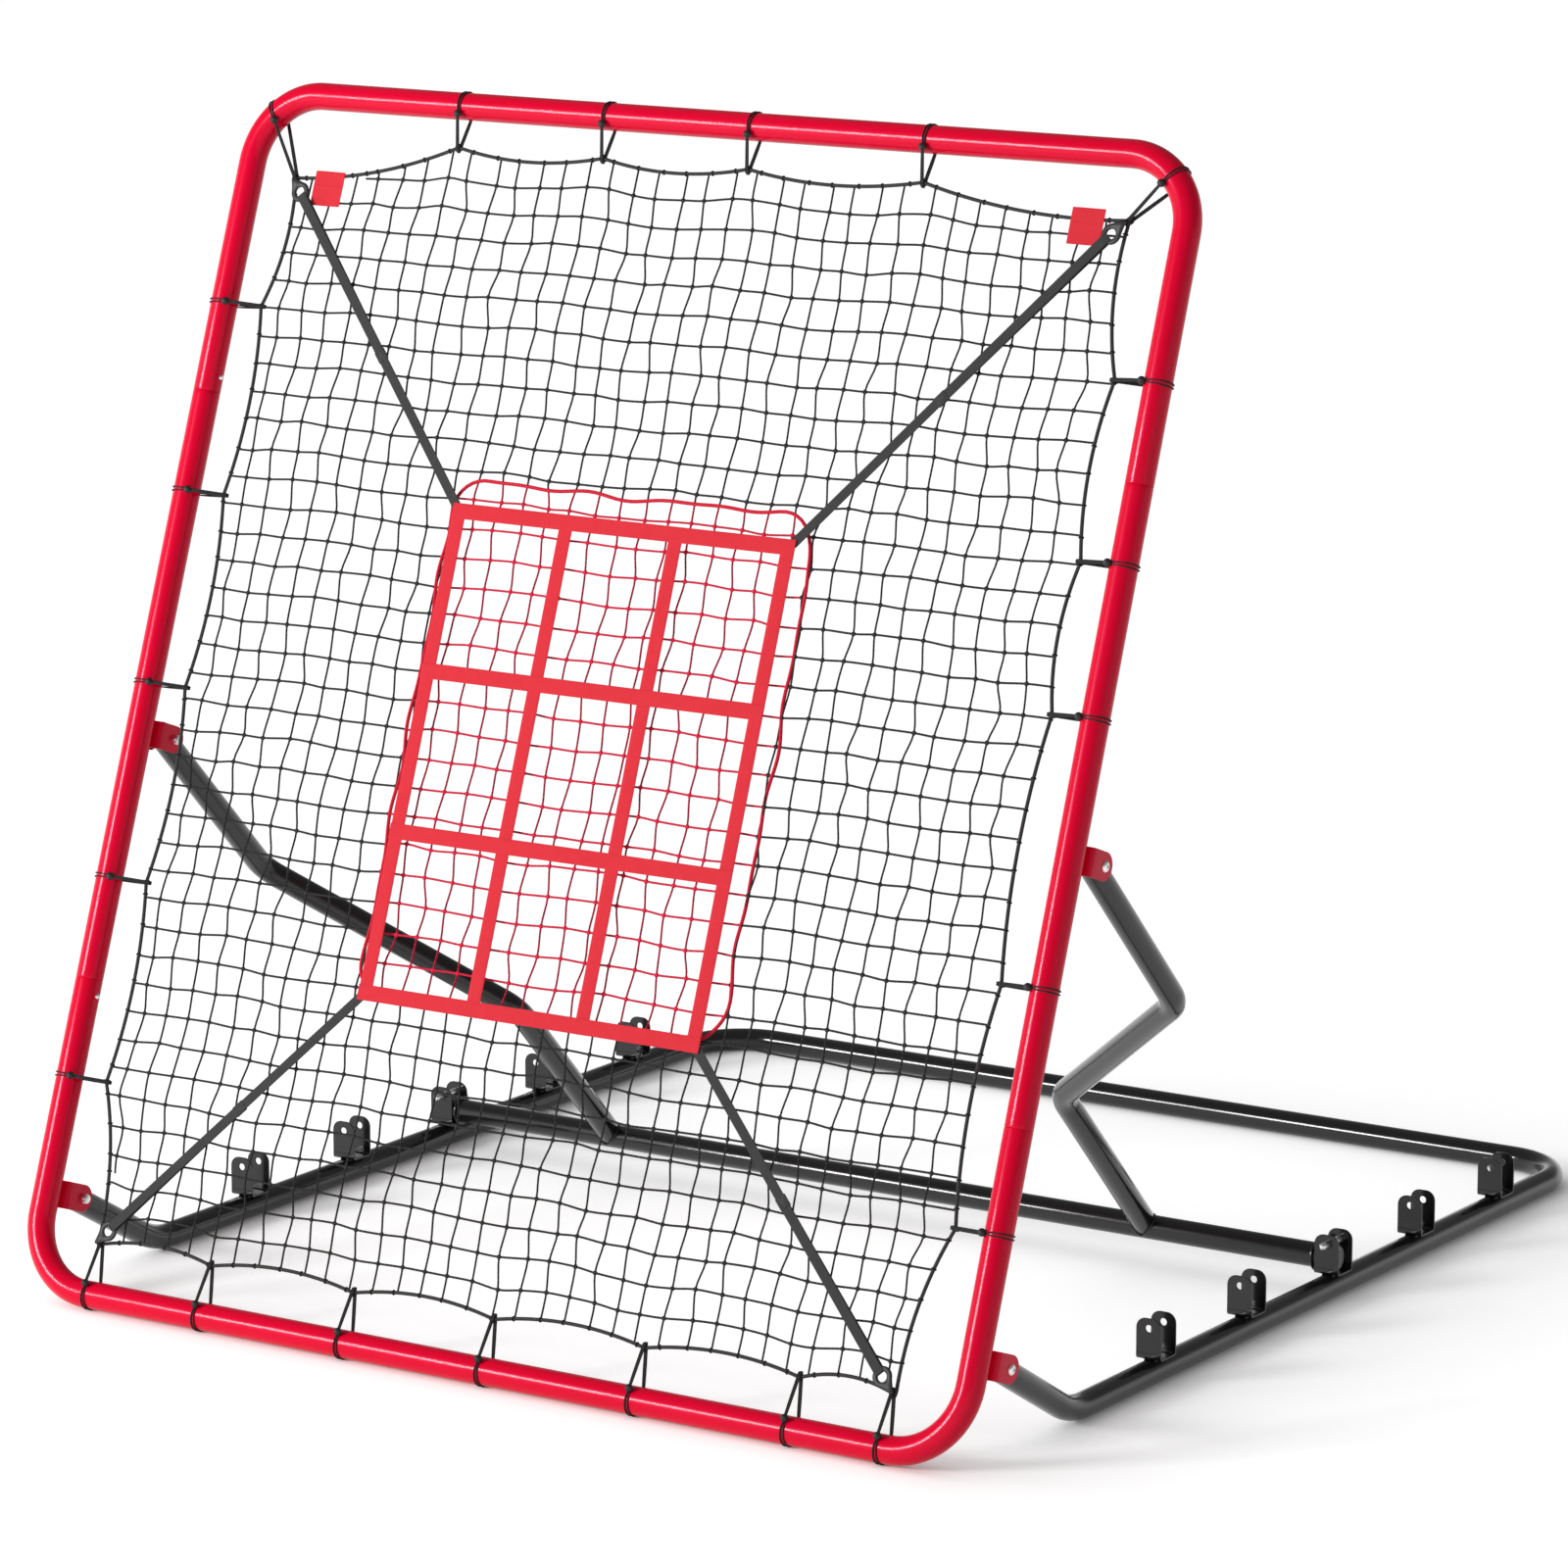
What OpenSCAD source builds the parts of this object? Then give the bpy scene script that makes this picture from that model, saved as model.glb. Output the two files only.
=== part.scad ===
// Pitching target net: a leaning tubular frame with a knotted net and a strike zone,
// on a base with five pairs of rest clevises and a folding stand.
// Millimetres. X to the right, Y to the rear, Z up, the floor at Z = 0.

/* [Red frame] */
// Outside diameter of the frame tube
frame_tube_d = 38; // [34:1:42]
// Wall of the frame tube
frame_wall = 1.5; // [1:0.1:2.5]
// Width between the centres of the two side tubes
frame_w = 1500; // [1440:10:1600]
// Height along the frame between the centres of its bottom and top tubes
frame_h = 1690; // [1660:10:1800]
// How far the frame leans back from upright, in degrees
lean = 20; // [16:1:24]
// Radius of the frame's corners, to the centre of the tube
frame_corner_r = 100; // [80:5:110]
// Height along the frame of the lower push-fit seam
lower_seam = 426; // [400:1:450]
// Height along the frame of the upper push-fit seam
upper_seam = 1260; // [1230:1:1290]
// Length of each swaged spigot
spigot_l = 70; // [50:5:90]
// Play between a spigot and the tube over it, all round
spigot_play = 0.1; // [0.05:0.05:0.3]

/* [Pivots] */
// Height along the frame of the pivot that joins it to the base
low_pivot_s = 128; // [124:1:134]
// Height along the frame of the pivot that joins it to the stand
mid_pivot_s = 777; // [760:1:790]
// Distance of both pivots behind the plane of the frame
pivot_n = 56; // [52:1:60]
// Height of the pivot brackets
bracket_h = 38; // [32:1:42]
// Thickness of the bracket's sheet
bracket_t = 2.5; // [2:0.5:3]
// Outside radius of the bracket's bends
bracket_r = 8; // [5:1:9]
// Diameter of the pivot bolts
bolt_d = 8; // [6:1:10]
// Running clearance of a turning bore, on the radius
bore_play = 0.08; // [0.04:0.01:0.1]
// Diameter of the bolt's button head
bolt_head_d = 15; // [13:1:18]
// Height of the bolt's button head
bolt_head_h = 4.4; // [3:0.2:6]
// Width of the lock nut across its flats
nut_af = 13; // [12:1:17]
// Height of the lock nut
nut_h = 8; // [6:0.5:9]
// Diameter of the nylon washers
washer_d = 18; // [16:1:24]
// Length of tube beyond the pivot at each hinged end
pivot_nose = 14; // [12:1:18]

/* [Black base and stand] */
// Outside diameter of the base, leg and crossbar tubes
black_tube_d = 35; // [32:1:36]
// Wall of the black tubes
black_wall = 1.5; // [1:0.1:2.5]
// Distance from the frame's bottom tube to the base's rear tube
base_l = 1725; // [1700:5:1900]
// Radius of the base's rear corners, to the centre of the tube
base_corner_r = 100; // [80:5:140]
// Slope of the raised front ends of the base
rise_angle = 30; // [25:1:35]
// Radius of the bend below the raised ends
rise_r = 60; // [50:5:80]
// Length of each leg before its first bend
leg_straight_l = 318; // [280:1:340]
// Angle of the leg's two bends
leg_bend = 45; // [35:1:50]
// Sideways step of the leg between its bends
leg_step = 296; // [250:1:310]
// Radius of the leg's bends, to the centre of the tube
leg_r = 60; // [50:5:70]
// How far the crossbar reaches beyond the centre of each rail
crossbar_over = 6; // [2:1:12]
// Diameter of the stop collars on the crossbar
collar_d = 44; // [40:1:50]
// Thickness of the stop collars
collar_t = 3; // [2:0.5:6]
// Thickness of the lip of the end plugs
plug_lip = 2; // [1:0.5:3]
// Depth to which the end plugs reach into a tube
plug_depth = 16; // [10:1:24]

/* [Rest clevises] */
// Distance of the first clevis behind the frame's bottom tube
clevis_first_y = 500; // [480:1:520]
// Pitch of the clevises along a rail
clevis_pitch = 243; // [230:1:250]
// Number of the clevis pair that holds the crossbar, from the front
clevis_used = 3; // [3:1:3]
// Width of a clevis across the rail
clevis_w = 38; // [34:1:44]
// Thickness of the clevis's sheet
clevis_t = 2.5; // [2:0.5:3]
// Outside radius of the clevis's lower bends
clevis_bend_r = 5; // [3:0.5:6]
// Play of the crossbar between the ears, on each side
clevis_play = 0.5; // [0.4:0.1:1.5]
// Gap between the crossbar and what lies just below and above it
rest_gap = 0.3; // [0.2:0.1:0.6]
// Height of the ears above the pin holes
ear_top = 14; // [12:1:18]
// Diameter of the lock pins
pin_d = 10; // [8:1:12]
// Reach of the pin's tip in front of the ear
pin_tip = 14; // [8:1:20]
// Diameter of the pin's head
pin_head_d = 16; // [14:1:20]
// Thickness of the pin's head
pin_head_t = 4; // [3:0.5:6]
// Radius of the pull rings, to the centre of the wire
ring_r = 11; // [9:1:14]
// Diameter of the pull ring's wire
ring_wire = 2; // [1.6:0.2:2.4]

/* [Snap buttons] */
// Distance of a button from the push-fit seam
button_off = 22; // [18:1:30]
// Diameter of a snap button
button_d = 7.2; // [6:0.2:8]
// Height of a button above the tube
button_out = 3; // [2:0.5:4]
// Play of a button in its hole, all round
button_play = 0.8; // [0.6:0.1:1.2]
// Width of the leaf spring
leaf_w = 10; // [8:1:12]
// Thickness of the leaf spring
leaf_t = 0.8; // [0.6:0.1:1]
// Distance from a button to the bow of its leaf spring
leaf_l = 45; // [40:1:60]

/* [Net] */
// Diameter of the edge rope
rope_d = 5; // [4:0.5:6]
// Depth of the rope's scallops between the ties
rope_sag = 13; // [6:1:20]
// Distance of the net's sides from the middle of the side tubes
net_inset = 64; // [50:2:80]
// Distance of the net's lower edge from the middle of the bottom tube
net_bottom_s = 69; // [60:1:80]
// Diameter of the net's cords
cord_d = 2; // [1.6:0.2:3]
// Width of the red centre panel
panel_w = 585; // [560:5:600]
// Height of the red centre panel
panel_h = 700; // [680:5:720]
// Height along the frame of the panel's lower edge
panel_s = 475; // [465:1:485]
// Meshes across the panel
panel_cols = 5; // [4:1:6]
// Meshes up the panel
panel_rows = 6; // [5:1:7]
// Thickness of the elastic ties' cord
tie_t = 2; // [1.5:0.5:3]
// Diameter of the ball on each tie
tie_ball_d = 11; // [9:1:14]

/* [Strike zone] */
// Width of the strike zone over its webbing
zone_w = 552; // [530:1:570]
// Height of the strike zone over its webbing
zone_h = 685; // [660:1:700]
// Height along the frame of the strike zone's lower edge
zone_s = 456; // [446:1:466]
// Width of the webbing
webbing_w = 20; // [16:1:30]
// Thickness of the webbing
webbing_t = 1.2; // [0.8:0.2:2]
// Distance of the strike zone in front of the net
zone_n = 12; // [8:1:20]
// Width of the diagonal straps
strap_w = 14; // [10:1:20]
// Thickness of the diagonal straps
strap_t = 1.6; // [1:0.2:3]
// Outside diameter of the strap hooks' eyes
hook_d = 28; // [24:1:34]
// Thickness of the strap hooks
hook_t = 4; // [3:0.5:5]
// Size of the corner patches, square
patch_size = 49; // [40:1:60]
// Distance of a patch from the net's corner
patch_off = 36; // [30:1:60]

/* [Hidden] */

tube_fn = 16;
small_fn = 13;
sheet_fn = 8;
ear_fn = 12;
cope_fn = 12;
bend_over = 0.1;
bend_thin = 0.25;
rope_sides = 5;
eps = 1;

frame_r = frame_tube_d / 2;
black_r = black_tube_d / 2;
half_w = frame_w / 2;
// The bottom tube lies on the cords of its ties.
frame_z = frame_r + tie_t;
// The loops of the ties are the foremost part.
front_y = -(frame_r + tie_t);
origin_y = (front_y + base_l + black_r) / 2;

// A point of the frame, from its place along and behind the frame, as [y, z]
function on_frame(s, n) = [s * sin(lean) + n * cos(lean), frame_z + s * cos(lean) - n * sin(lean)];
low_pivot = on_frame(low_pivot_s, pivot_n);
mid_pivot = on_frame(mid_pivot_s, pivot_n);

// Clevis heights above the floor
clevis_floor = 2 * black_r + clevis_t;
crossbar_z = clevis_floor + rest_gap + black_r;
pin_z = crossbar_z + black_r + rest_gap + pin_d / 2;
clevis_half_gap = black_r + clevis_play;
clevis_half_y = clevis_half_gap + clevis_t;
crossbar_y = clevis_first_y + (clevis_used - 1) * clevis_pitch;
ear_r = min(ear_top, clevis_w / 2);

// The stand lies in the plane of the mid pivots and the crossbar.
stand_dy = crossbar_y - mid_pivot[0];
stand_dz = crossbar_z - mid_pivot[1];
stand_l = norm([stand_dy, stand_dz]);
stand_angle = -atan2(stand_dy, stand_dz);

cheek_inner = frame_r;
cheek_outer = cheek_inner + bracket_t;
washer_t = cheek_inner - black_r - rest_gap;
bolt_r = bolt_d / 2;
pivot_bore_d = bolt_d + 2 * bore_play;
// The plugs next to a pivot stop short of its bolt.
nose_plug_depth = pivot_nose - bolt_r - 2;
pin_bore_d = pin_d + 2 * bore_play;

spigot_r = frame_r - frame_wall - spigot_play;
crossbar_half_l = half_w + crossbar_over;
collar_x = half_w - clevis_w / 2 - collar_t - 2;

// Places of the ties, as shares of the frame's width and height
top_ties = frame_w * [-0.27, -0.11, 0.0467, 0.23];
bottom_ties = frame_w * [-0.43, -0.3, -0.14, 0.0133, 0.1733, 0.3333, 0.43];
left_ties = frame_h * [0.1716, 0.3373, 0.5, 0.6615, 0.8207];
right_ties = frame_h * [0.1716, 0.358, 0.5651, 0.6834, 0.8243];

// The net's edges and corners, as [x, s]
net_top_s = frame_h - net_inset + 6;
net_half_w = half_w - net_inset;
corner_lift = 60;
corner_upper_left = [-net_half_w + 16, net_top_s - corner_lift];
corner_upper_right = [net_half_w - 22, net_top_s - corner_lift / 2];
corner_lower_left = [bottom_ties[0], net_bottom_s];
corner_lower_right = [bottom_ties[6], net_bottom_s];

// The edge rope's anchors in order: up the left, along the top, down the right, along the bottom
anchors = concat(
    [corner_lower_left], [for (s = left_ties) [-net_half_w, s]],
    [corner_upper_left], [for (x = top_ties) [x, net_top_s]],
    [corner_upper_right], [for (i = [4:-1:0]) [net_half_w, right_ties[i]]],
    [corner_lower_right], [for (i = [5:-1:1]) [bottom_ties[i], net_bottom_s]]
);

function unit(v) = v / norm(v);
// The direction to the right of a step, which is inwards here
function inward(p, q) = let (d = unit(q - p)) [d[1], -d[0]];
function wrap(list, i) = list[(i + len(list)) % len(list)];
rope_steps = 3;
// Points of the rope, moved inwards by inset
function rope_line(inset) = [
    for (i = [0:len(anchors) - 1], k = [0:rope_steps - 1])
        let (
            before = wrap(anchors, i - 1), here = anchors[i], after = wrap(anchors, i + 1),
            side = k > 0 ? inward(here, after)
                : unit(inward(before, here) + inward(here, after)),
            part = k / rope_steps,
            sag = rope_sag * 4 * part * (1 - part)
        )
        here + (after - here) * part + side * (sag + inset)
];

panel_x = -panel_w / 2 - 7;
mesh_w = panel_w / panel_cols;
mesh_h = panel_h / panel_rows;
border_d = 4;
panel_steps = 4;
panel_wave = 5;
panel_corners = [
    [panel_x, panel_s], [panel_x, panel_s + panel_h],
    [panel_x + panel_w, panel_s + panel_h], [panel_x + panel_w, panel_s],
];
// The border of the panel waves a little in and out between its corners.
function panel_line(inset) = [
    for (i = [0:3], k = [0:panel_steps - 1])
        let (
            here = panel_corners[i], after = panel_corners[(i + 1) % 4],
            before = panel_corners[(i + 3) % 4],
            side = k > 0 ? inward(here, after) : inward(before, here) + inward(here, after),
            wave = k == 0 ? 0 : panel_wave * cos(180 * k)
        )
        here + (after - here) * k / panel_steps + side * (wave + inset)
];

zone_x = -zone_w / 2 - 12;
upright_n = -zone_n;
rung_n = upright_n - webbing_t - 0.05;
zone_corners = [
    [zone_x, zone_s + zone_h], [zone_x + zone_w, zone_s + zone_h],
    [zone_x, zone_s], [zone_x + zone_w, zone_s],
];
net_corners = [corner_upper_left, corner_upper_right, corner_lower_left, corner_lower_right];
hook_tail = hook_d / 2 + 12;
hook_reach = hook_d / 2 + hook_tail + 2;
// The hooks lie in front of the ties that hold the net's corners.
hook_n = -rope_d / 2 - tie_t - 2 - hook_t / 2;
sewn = 8;
sewn_gap = 0.2;

spigot_bore_r = spigot_r - frame_wall;
// The leaf's edges stay clear of the spigot's bore.
leaf_x = sqrt(pow(spigot_bore_r, 2) - pow(leaf_w / 2, 2)) - leaf_t - 0.3;
button_z_upper = upper_seam + button_off;
button_z_lower = lower_seam - button_off;

FRAME_RED = "#e00026";
BLACK = "#2b2b2d";
PLUG_BLACK = "#1d1d1f";
STEEL = "#b9bcc0";
WEBBING_RED = "#ec3745";
CORD_BLACK = "#333333";

// Places its children in the ground frame, with the part's origin under its middle.
module on_ground() { translate([0, -origin_y, 0]) children(); }

// Places its children in the frame's own axes: Y is behind the frame and Z goes up along it.
module in_frame() { on_ground() translate([0, 0, frame_z]) rotate([-lean, 0, 0]) children(); }

// Places its children in the stand's axes: the pivot at the origin, Z goes to the crossbar.
module in_stand() {
    on_ground() translate([0, mid_pivot[0], mid_pivot[1]]) rotate([stand_angle, 0, 0]) children();
}

module both_sides() { for (side = [-1, 1]) translate([side * half_w, 0, 0]) children(); }

// A cylinder along X, centred
module along_x(d, l, fn = small_fn) { rotate([0, 90, 0]) cylinder(d = d, h = l, center = true, $fn = fn); }

// A cylinder along Y, centred
module along_y(d, l, fn = small_fn) { rotate([90, 0, 0]) cylinder(d = d, h = l, center = true, $fn = fn); }

// ---- Bent tubes: run() and bend() are chained, each carries the next as its child.

module with_tube(d, over) {
    $tube_d = d;
    $over = over;
    children();
}

// A straight stretch along Z; an open end lets the bore cut reach past it.
module run(l, opens = "") {
    before = opens == "start" || opens == "both" ? $over : 0;
    after = opens == "end" || opens == "both" ? $over : 0;
    translate([0, 0, -before]) cylinder(d = $tube_d, h = l + before + after, $fn = tube_fn);
    translate([0, 0, l]) children();
}

// A bend of radius r through an angle, towards the direction that turn gives round Z.
// It is a hair thinner than the straight stretches, and its ends lie just inside them.
module bend(r, angle, turn = 0) {
    over = bend_over / r * 180 / PI;
    rotate([0, 0, turn]) {
        translate([r, 0, 0]) rotate([90, 0, 0]) rotate([0, 0, 180 - angle - over])
            rotate_extrude(angle = angle + 2 * over, $fn = tube_fn)
                translate([r, 0]) circle(d = $tube_d - 2 * bend_thin, $fn = tube_fn);
        translate([r, 0, 0]) rotate([0, angle, 0]) translate([-r, 0, 0]) rotate([0, 0, -turn]) children();
    }
}

module hollow(d, wall) {
    difference() {
        with_tube(d, 0) children();
        with_tube(d - 2 * wall, eps) children();
    }
}

// An end plug for a black tube: its lip covers the tube's end at the origin, its body goes down.
module end_plug(depth) {
    body_r = black_r - black_wall - 0.1;
    rotate_extrude($fn = tube_fn) polygon([
        [0, plug_lip], [black_r - 1, plug_lip], [black_r, 0],
        [body_r, 0], [body_r, -depth], [0, -depth],
    ]);
}

// ---- Base

rise_h = low_pivot[1] - black_r;
rise_run = rise_h / sin(rise_angle);
rise_tangent = rise_r * tan(rise_angle / 2);
rail_start = low_pivot[0] + rise_h / tan(rise_angle) + rise_tangent;
rail_l = base_l - base_corner_r - rail_start;

module base_path() {
    run(pivot_nose + rise_run - rise_tangent, "start")
    bend(rise_r, rise_angle, 270)
    run(rail_l)
    bend(base_corner_r, 90, 0)
    run(frame_w - 2 * base_corner_r)
    bend(base_corner_r, 90, 0)
    run(rail_l)
    bend(rise_r, rise_angle, 270)
    run(pivot_nose + rise_run - rise_tangent, "end");
}

// Places its children at a raised end of the base, Z along the tube, from its mouth.
module at_base_end(side) {
    on_ground() translate([side * half_w, low_pivot[0], low_pivot[1]])
        rotate([-90 - rise_angle, 0, 0]) translate([0, 0, -pivot_nose]) children();
}

module base_tube() {
    color(BLACK) difference() {
        at_base_end(-1) hollow(black_tube_d, black_wall) base_path();
        on_ground() both_sides() translate([0, low_pivot[0], low_pivot[1]])
            along_x(pivot_bore_d, black_tube_d + 2 * eps);
    }
}

module base_end_plugs() {
    color(PLUG_BLACK) for (side = [-1, 1]) at_base_end(side) mirror([0, 0, 1]) end_plug(nose_plug_depth);
}

// A U of sheet on a rail, open to both sides, its ears in front and behind
module clevis() {
    half_x = clevis_w / 2;
    base_z = 2 * black_r;
    difference() {
        intersection() {
            translate([-half_x, 0, 0]) rotate([90, 0, 90]) linear_extrude(clevis_w)
                u_section(2 * clevis_half_y, base_z, pin_z + ear_top + eps, clevis_t, clevis_bend_r);
            rotate([90, 0, 0]) linear_extrude(4 * clevis_half_y, center = true) {
                translate([-half_x, base_z - eps]) square([clevis_w, pin_z - base_z + eps]);
                for (x = [-1, 1] * (half_x - ear_r))
                    translate([x, pin_z]) circle(ear_r, $fn = ear_fn);
                translate([ear_r - half_x, pin_z])
                    square([max(clevis_w - 2 * ear_r, 0.1), ear_r]);
            }
        }
        translate([0, 0, pin_z]) along_y(pin_bore_d, 4 * clevis_half_y);
    }
}

// The section of a U with rounded outer and inner bends: its web lies at y = low
module u_section(w, low, high, t, r) {
    difference() {
        rounded_foot(w, low, high, r);
        rounded_foot(w - 2 * t, low + t, high + eps, r - t);
    }
}

module rounded_foot(w, low, high, r) {
    translate([-w / 2, low + r]) square([w, high - low - r]);
    translate([-w / 2 + r, low]) square([w - 2 * r, r]);
    for (x = [-1, 1] * (w / 2 - r)) translate([x, low + r]) circle(r, $fn = sheet_fn);
}

module clevis_at(side, number) {
    color(BLACK) on_ground()
        translate([side * half_w, clevis_first_y + (number - 1) * clevis_pitch, 0]) clevis();
}

// ---- Frame tubes

module frame_u(leg_l) {
    hollow(frame_tube_d, frame_wall)
        run(leg_l, "start")
        bend(frame_corner_r, 90, 0)
        run(frame_w - 2 * frame_corner_r)
        bend(frame_corner_r, 90, 0)
        run(leg_l, "end");
}

// Holes for two snap buttons, on the inner sides of the tubes
module button_holes(s, d) {
    for (side = [-1, 1]) translate([side * (half_w - frame_r), 0, s]) along_x(d, frame_tube_d / 2);
}

module frame_top_tube() {
    color(FRAME_RED) in_frame() difference() {
        translate([-half_w, 0, upper_seam]) frame_u(frame_h - frame_corner_r - upper_seam);
        button_holes(button_z_upper, button_d + 2 * button_play);
    }
}

module frame_bottom_tube() {
    color(FRAME_RED) in_frame() difference() {
        translate([-half_w, 0, lower_seam]) mirror([0, 0, 1]) frame_u(lower_seam - frame_corner_r);
        button_holes(button_z_lower, button_d + 2 * button_play);
    }
}

// The side tube is swaged down at both ends into spigots.
module side_tube() {
    bore = frame_r - frame_wall;
    swage = 10;
    rotate_extrude($fn = tube_fn) polygon([
        [bore, lower_seam + swage], [bore, upper_seam - swage], [spigot_bore_r, upper_seam],
        [spigot_bore_r, upper_seam + spigot_l], [spigot_r, upper_seam + spigot_l],
        [spigot_r, upper_seam], [frame_r, upper_seam], [frame_r, lower_seam],
        [spigot_r, lower_seam], [spigot_r, lower_seam - spigot_l],
        [spigot_bore_r, lower_seam - spigot_l], [spigot_bore_r, lower_seam],
    ]);
}

module frame_side_tube(side) {
    color(FRAME_RED) in_frame() difference() {
        translate([side * half_w, 0, 0]) side_tube();
        for (s = [button_z_upper, button_z_lower]) button_holes(s, button_d + 2 * button_play);
    }
}

// ---- Pivots

// A U bracket behind a side tube: its web is welded to the tube, its cheeks hold the bolt.
module pivot_bracket(s) {
    half_h = bracket_h / 2;
    web_n = frame_r + 0.05;
    translate([0, 0, s]) difference() {
        intersection() {
            linear_extrude(bracket_h + 2 * eps, center = true)
                u_section(2 * cheek_outer, web_n, pivot_n + half_h + eps, bracket_t, bracket_r);
            rotate([90, 0, 90]) linear_extrude(4 * cheek_outer, center = true) {
                translate([web_n - eps, -half_h]) square([pivot_n - web_n + eps, bracket_h]);
                translate([pivot_n, 0]) circle(half_h, $fn = ear_fn);
            }
        }
        translate([0, pivot_n, 0]) along_x(bolt_d + 0.2, 4 * cheek_outer);
    }
}

module bracket_at(side, s) {
    color(FRAME_RED) in_frame() translate([side * half_w, 0, 0]) pivot_bracket(s);
}

// A button-head bolt along X, its head on the outer side
module pivot_bolt(side) {
    shank_l = 2 * cheek_outer + nut_h + 1;
    rotate([0, side * 90, 0]) {
        translate([0, 0, cheek_outer - shank_l]) cylinder(d = bolt_d, h = shank_l, $fn = small_fn);
        translate([0, 0, cheek_outer]) difference() {
            rotate_extrude($fn = small_fn) polygon([
                [0, 0], [bolt_head_d / 2, 0], [bolt_head_d * 0.44, bolt_head_h * 0.7],
                [bolt_head_d * 0.3, bolt_head_h],
                [0, bolt_head_h],
            ]);
            translate([0, 0, bolt_head_h * 0.4]) cylinder(d = bolt_d * 0.7, h = bolt_head_h, $fn = 6);
        }
    }
}

module pivot_nut(side) {
    rotate([0, -side * 90, 0]) translate([0, 0, cheek_outer]) difference() {
        cylinder(d = nut_af / cos(30), h = nut_h, $fn = 6);
        translate([0, 0, -eps]) cylinder(d = bolt_d + 0.1, h = nut_h + 2 * eps, $fn = small_fn);
    }
}

module at_pivots(s) {
    for (side = [-1, 1]) {
        $side = side;
        in_frame() translate([side * half_w, pivot_n, s]) children();
    }
}

module low_bolts() { color(STEEL) at_pivots(low_pivot_s) pivot_bolt($side); }
module mid_bolts() { color(STEEL) at_pivots(mid_pivot_s) pivot_bolt($side); }
module low_nuts() { color(STEEL) at_pivots(low_pivot_s) pivot_nut($side); }
module mid_nuts() { color(STEEL) at_pivots(mid_pivot_s) pivot_nut($side); }

// A nylon washer between each cheek and the hinged tube
module pivot_washers() {
    color("#e8e8e4") for (s = [low_pivot_s, mid_pivot_s]) at_pivots(s)
        for (face = [-1, 1]) translate([face * (cheek_inner - washer_t / 2), 0, 0]) difference() {
            along_x(washer_d, washer_t, sheet_fn);
            along_x(bolt_d + 1, washer_t + 2 * eps, sheet_fn);
        }
}

// ---- Snap buttons: a domed button on a leaf, which turns on the end of a bow spring

// Places its children at a button: X goes outwards through the hole, Z away from the seam.
module at_button(side, s, up) {
    in_frame() translate([side * half_w, 0, s]) rotate([0, 0, side > 0 ? 180 : 0])
        scale_z(up) children();
}

module scale_z(up) { mirror([0, 0, up > 0 ? 0 : 1]) children(); }

module snap_button(side, s, up) {
    top = frame_r + button_out;
    dome = button_d / 2;
    color(STEEL) at_button(side, s, up) {
        translate([leaf_x + leaf_t, 0, 0]) rotate([0, 90, 0]) rotate_extrude($fn = small_fn) polygon(concat(
            [[0, -0.01], [dome, -0.01], [dome, top - leaf_x - leaf_t - dome * 0.8]],
            [for (a = [30:30:60]) [dome * cos(a), top - leaf_x - leaf_t - dome * 0.8 * (1 - sin(a))]],
            [[0, top - leaf_x - leaf_t]]
        ));
        translate([leaf_x, -leaf_w / 2, -leaf_l]) cube([leaf_t, leaf_w, leaf_l + button_d / 2 + 2]);
    }
}

// The bow and the back leaf of the spring, which lies against the far wall of the spigot
module button_spring(side, s, up) {
    bow_r = leaf_x + leaf_t / 2;
    back = leaf_x + leaf_t;
    at_button(side, s, up) {
        translate([0, 0, -leaf_l - 0.3]) rotate([90, 0, 0]) linear_extrude(leaf_w, center = true)
            intersection() {
                difference() {
                    circle(bow_r + leaf_t / 2, $fn = tube_fn);
                    circle(bow_r - leaf_t / 2, $fn = tube_fn);
                }
                translate([-2 * bow_r, -2 * bow_r]) square([4 * bow_r, 2 * bow_r]);
            }
        translate([-back, -leaf_w / 2, -leaf_l - 0.3]) cube([leaf_t, leaf_w, leaf_l + 8]);
    }
}

module button_springs() {
    color(STEEL) for (side = [-1, 1]) {
        button_spring(side, button_z_upper, 1);
        button_spring(side, button_z_lower, -1);
    }
}

// ---- Stand

leg_tangent = leg_r * tan(leg_bend / 2);
leg_slant_l = leg_step / sin(leg_bend);
// The coped end stops a little short of the crossbar's centre.
leg_last_l = stand_l - leg_straight_l - leg_step / tan(leg_bend) - black_r / 3;

module leg(side) {
    turn = side > 0 ? 180 : 0;
    color(BLACK) in_stand() difference() {
        translate([side * half_w, 0, -pivot_nose]) hollow(black_tube_d, black_wall)
            run(pivot_nose + leg_straight_l - leg_tangent, "start")
            bend(leg_r, leg_bend, turn)
            run(leg_slant_l - 2 * leg_tangent)
            bend(leg_r, leg_bend, turn + 180)
            run(leg_last_l - leg_tangent);
        translate([side * half_w, 0, 0]) along_x(pivot_bore_d, black_tube_d + 2 * eps);
        // The lower end is coped with flats that touch the crossbar.
        translate([side * (half_w - leg_step), 0, stand_l]) rotate([180 / cope_fn, 0, 0])
            along_x((black_tube_d + 0.1) / cos(180 / cope_fn), 2 * black_tube_d, cope_fn);
    }
}

module leg_plugs() {
    color(PLUG_BLACK) in_stand() both_sides()
        translate([0, 0, -pivot_nose]) mirror([0, 0, 1]) end_plug(nose_plug_depth);
}

module crossbar() {
    color(BLACK) in_stand() translate([0, 0, stand_l]) difference() {
        along_x(black_tube_d, 2 * crossbar_half_l, tube_fn);
        along_x(black_tube_d - 2 * black_wall, 2 * crossbar_half_l + 2 * eps, tube_fn);
    }
}

module crossbar_plugs() {
    color("#8f9296") in_stand() for (side = [-1, 1])
        translate([side * crossbar_half_l, 0, stand_l]) rotate([0, side * 90, 0])
            end_plug(plug_depth);
}

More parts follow.
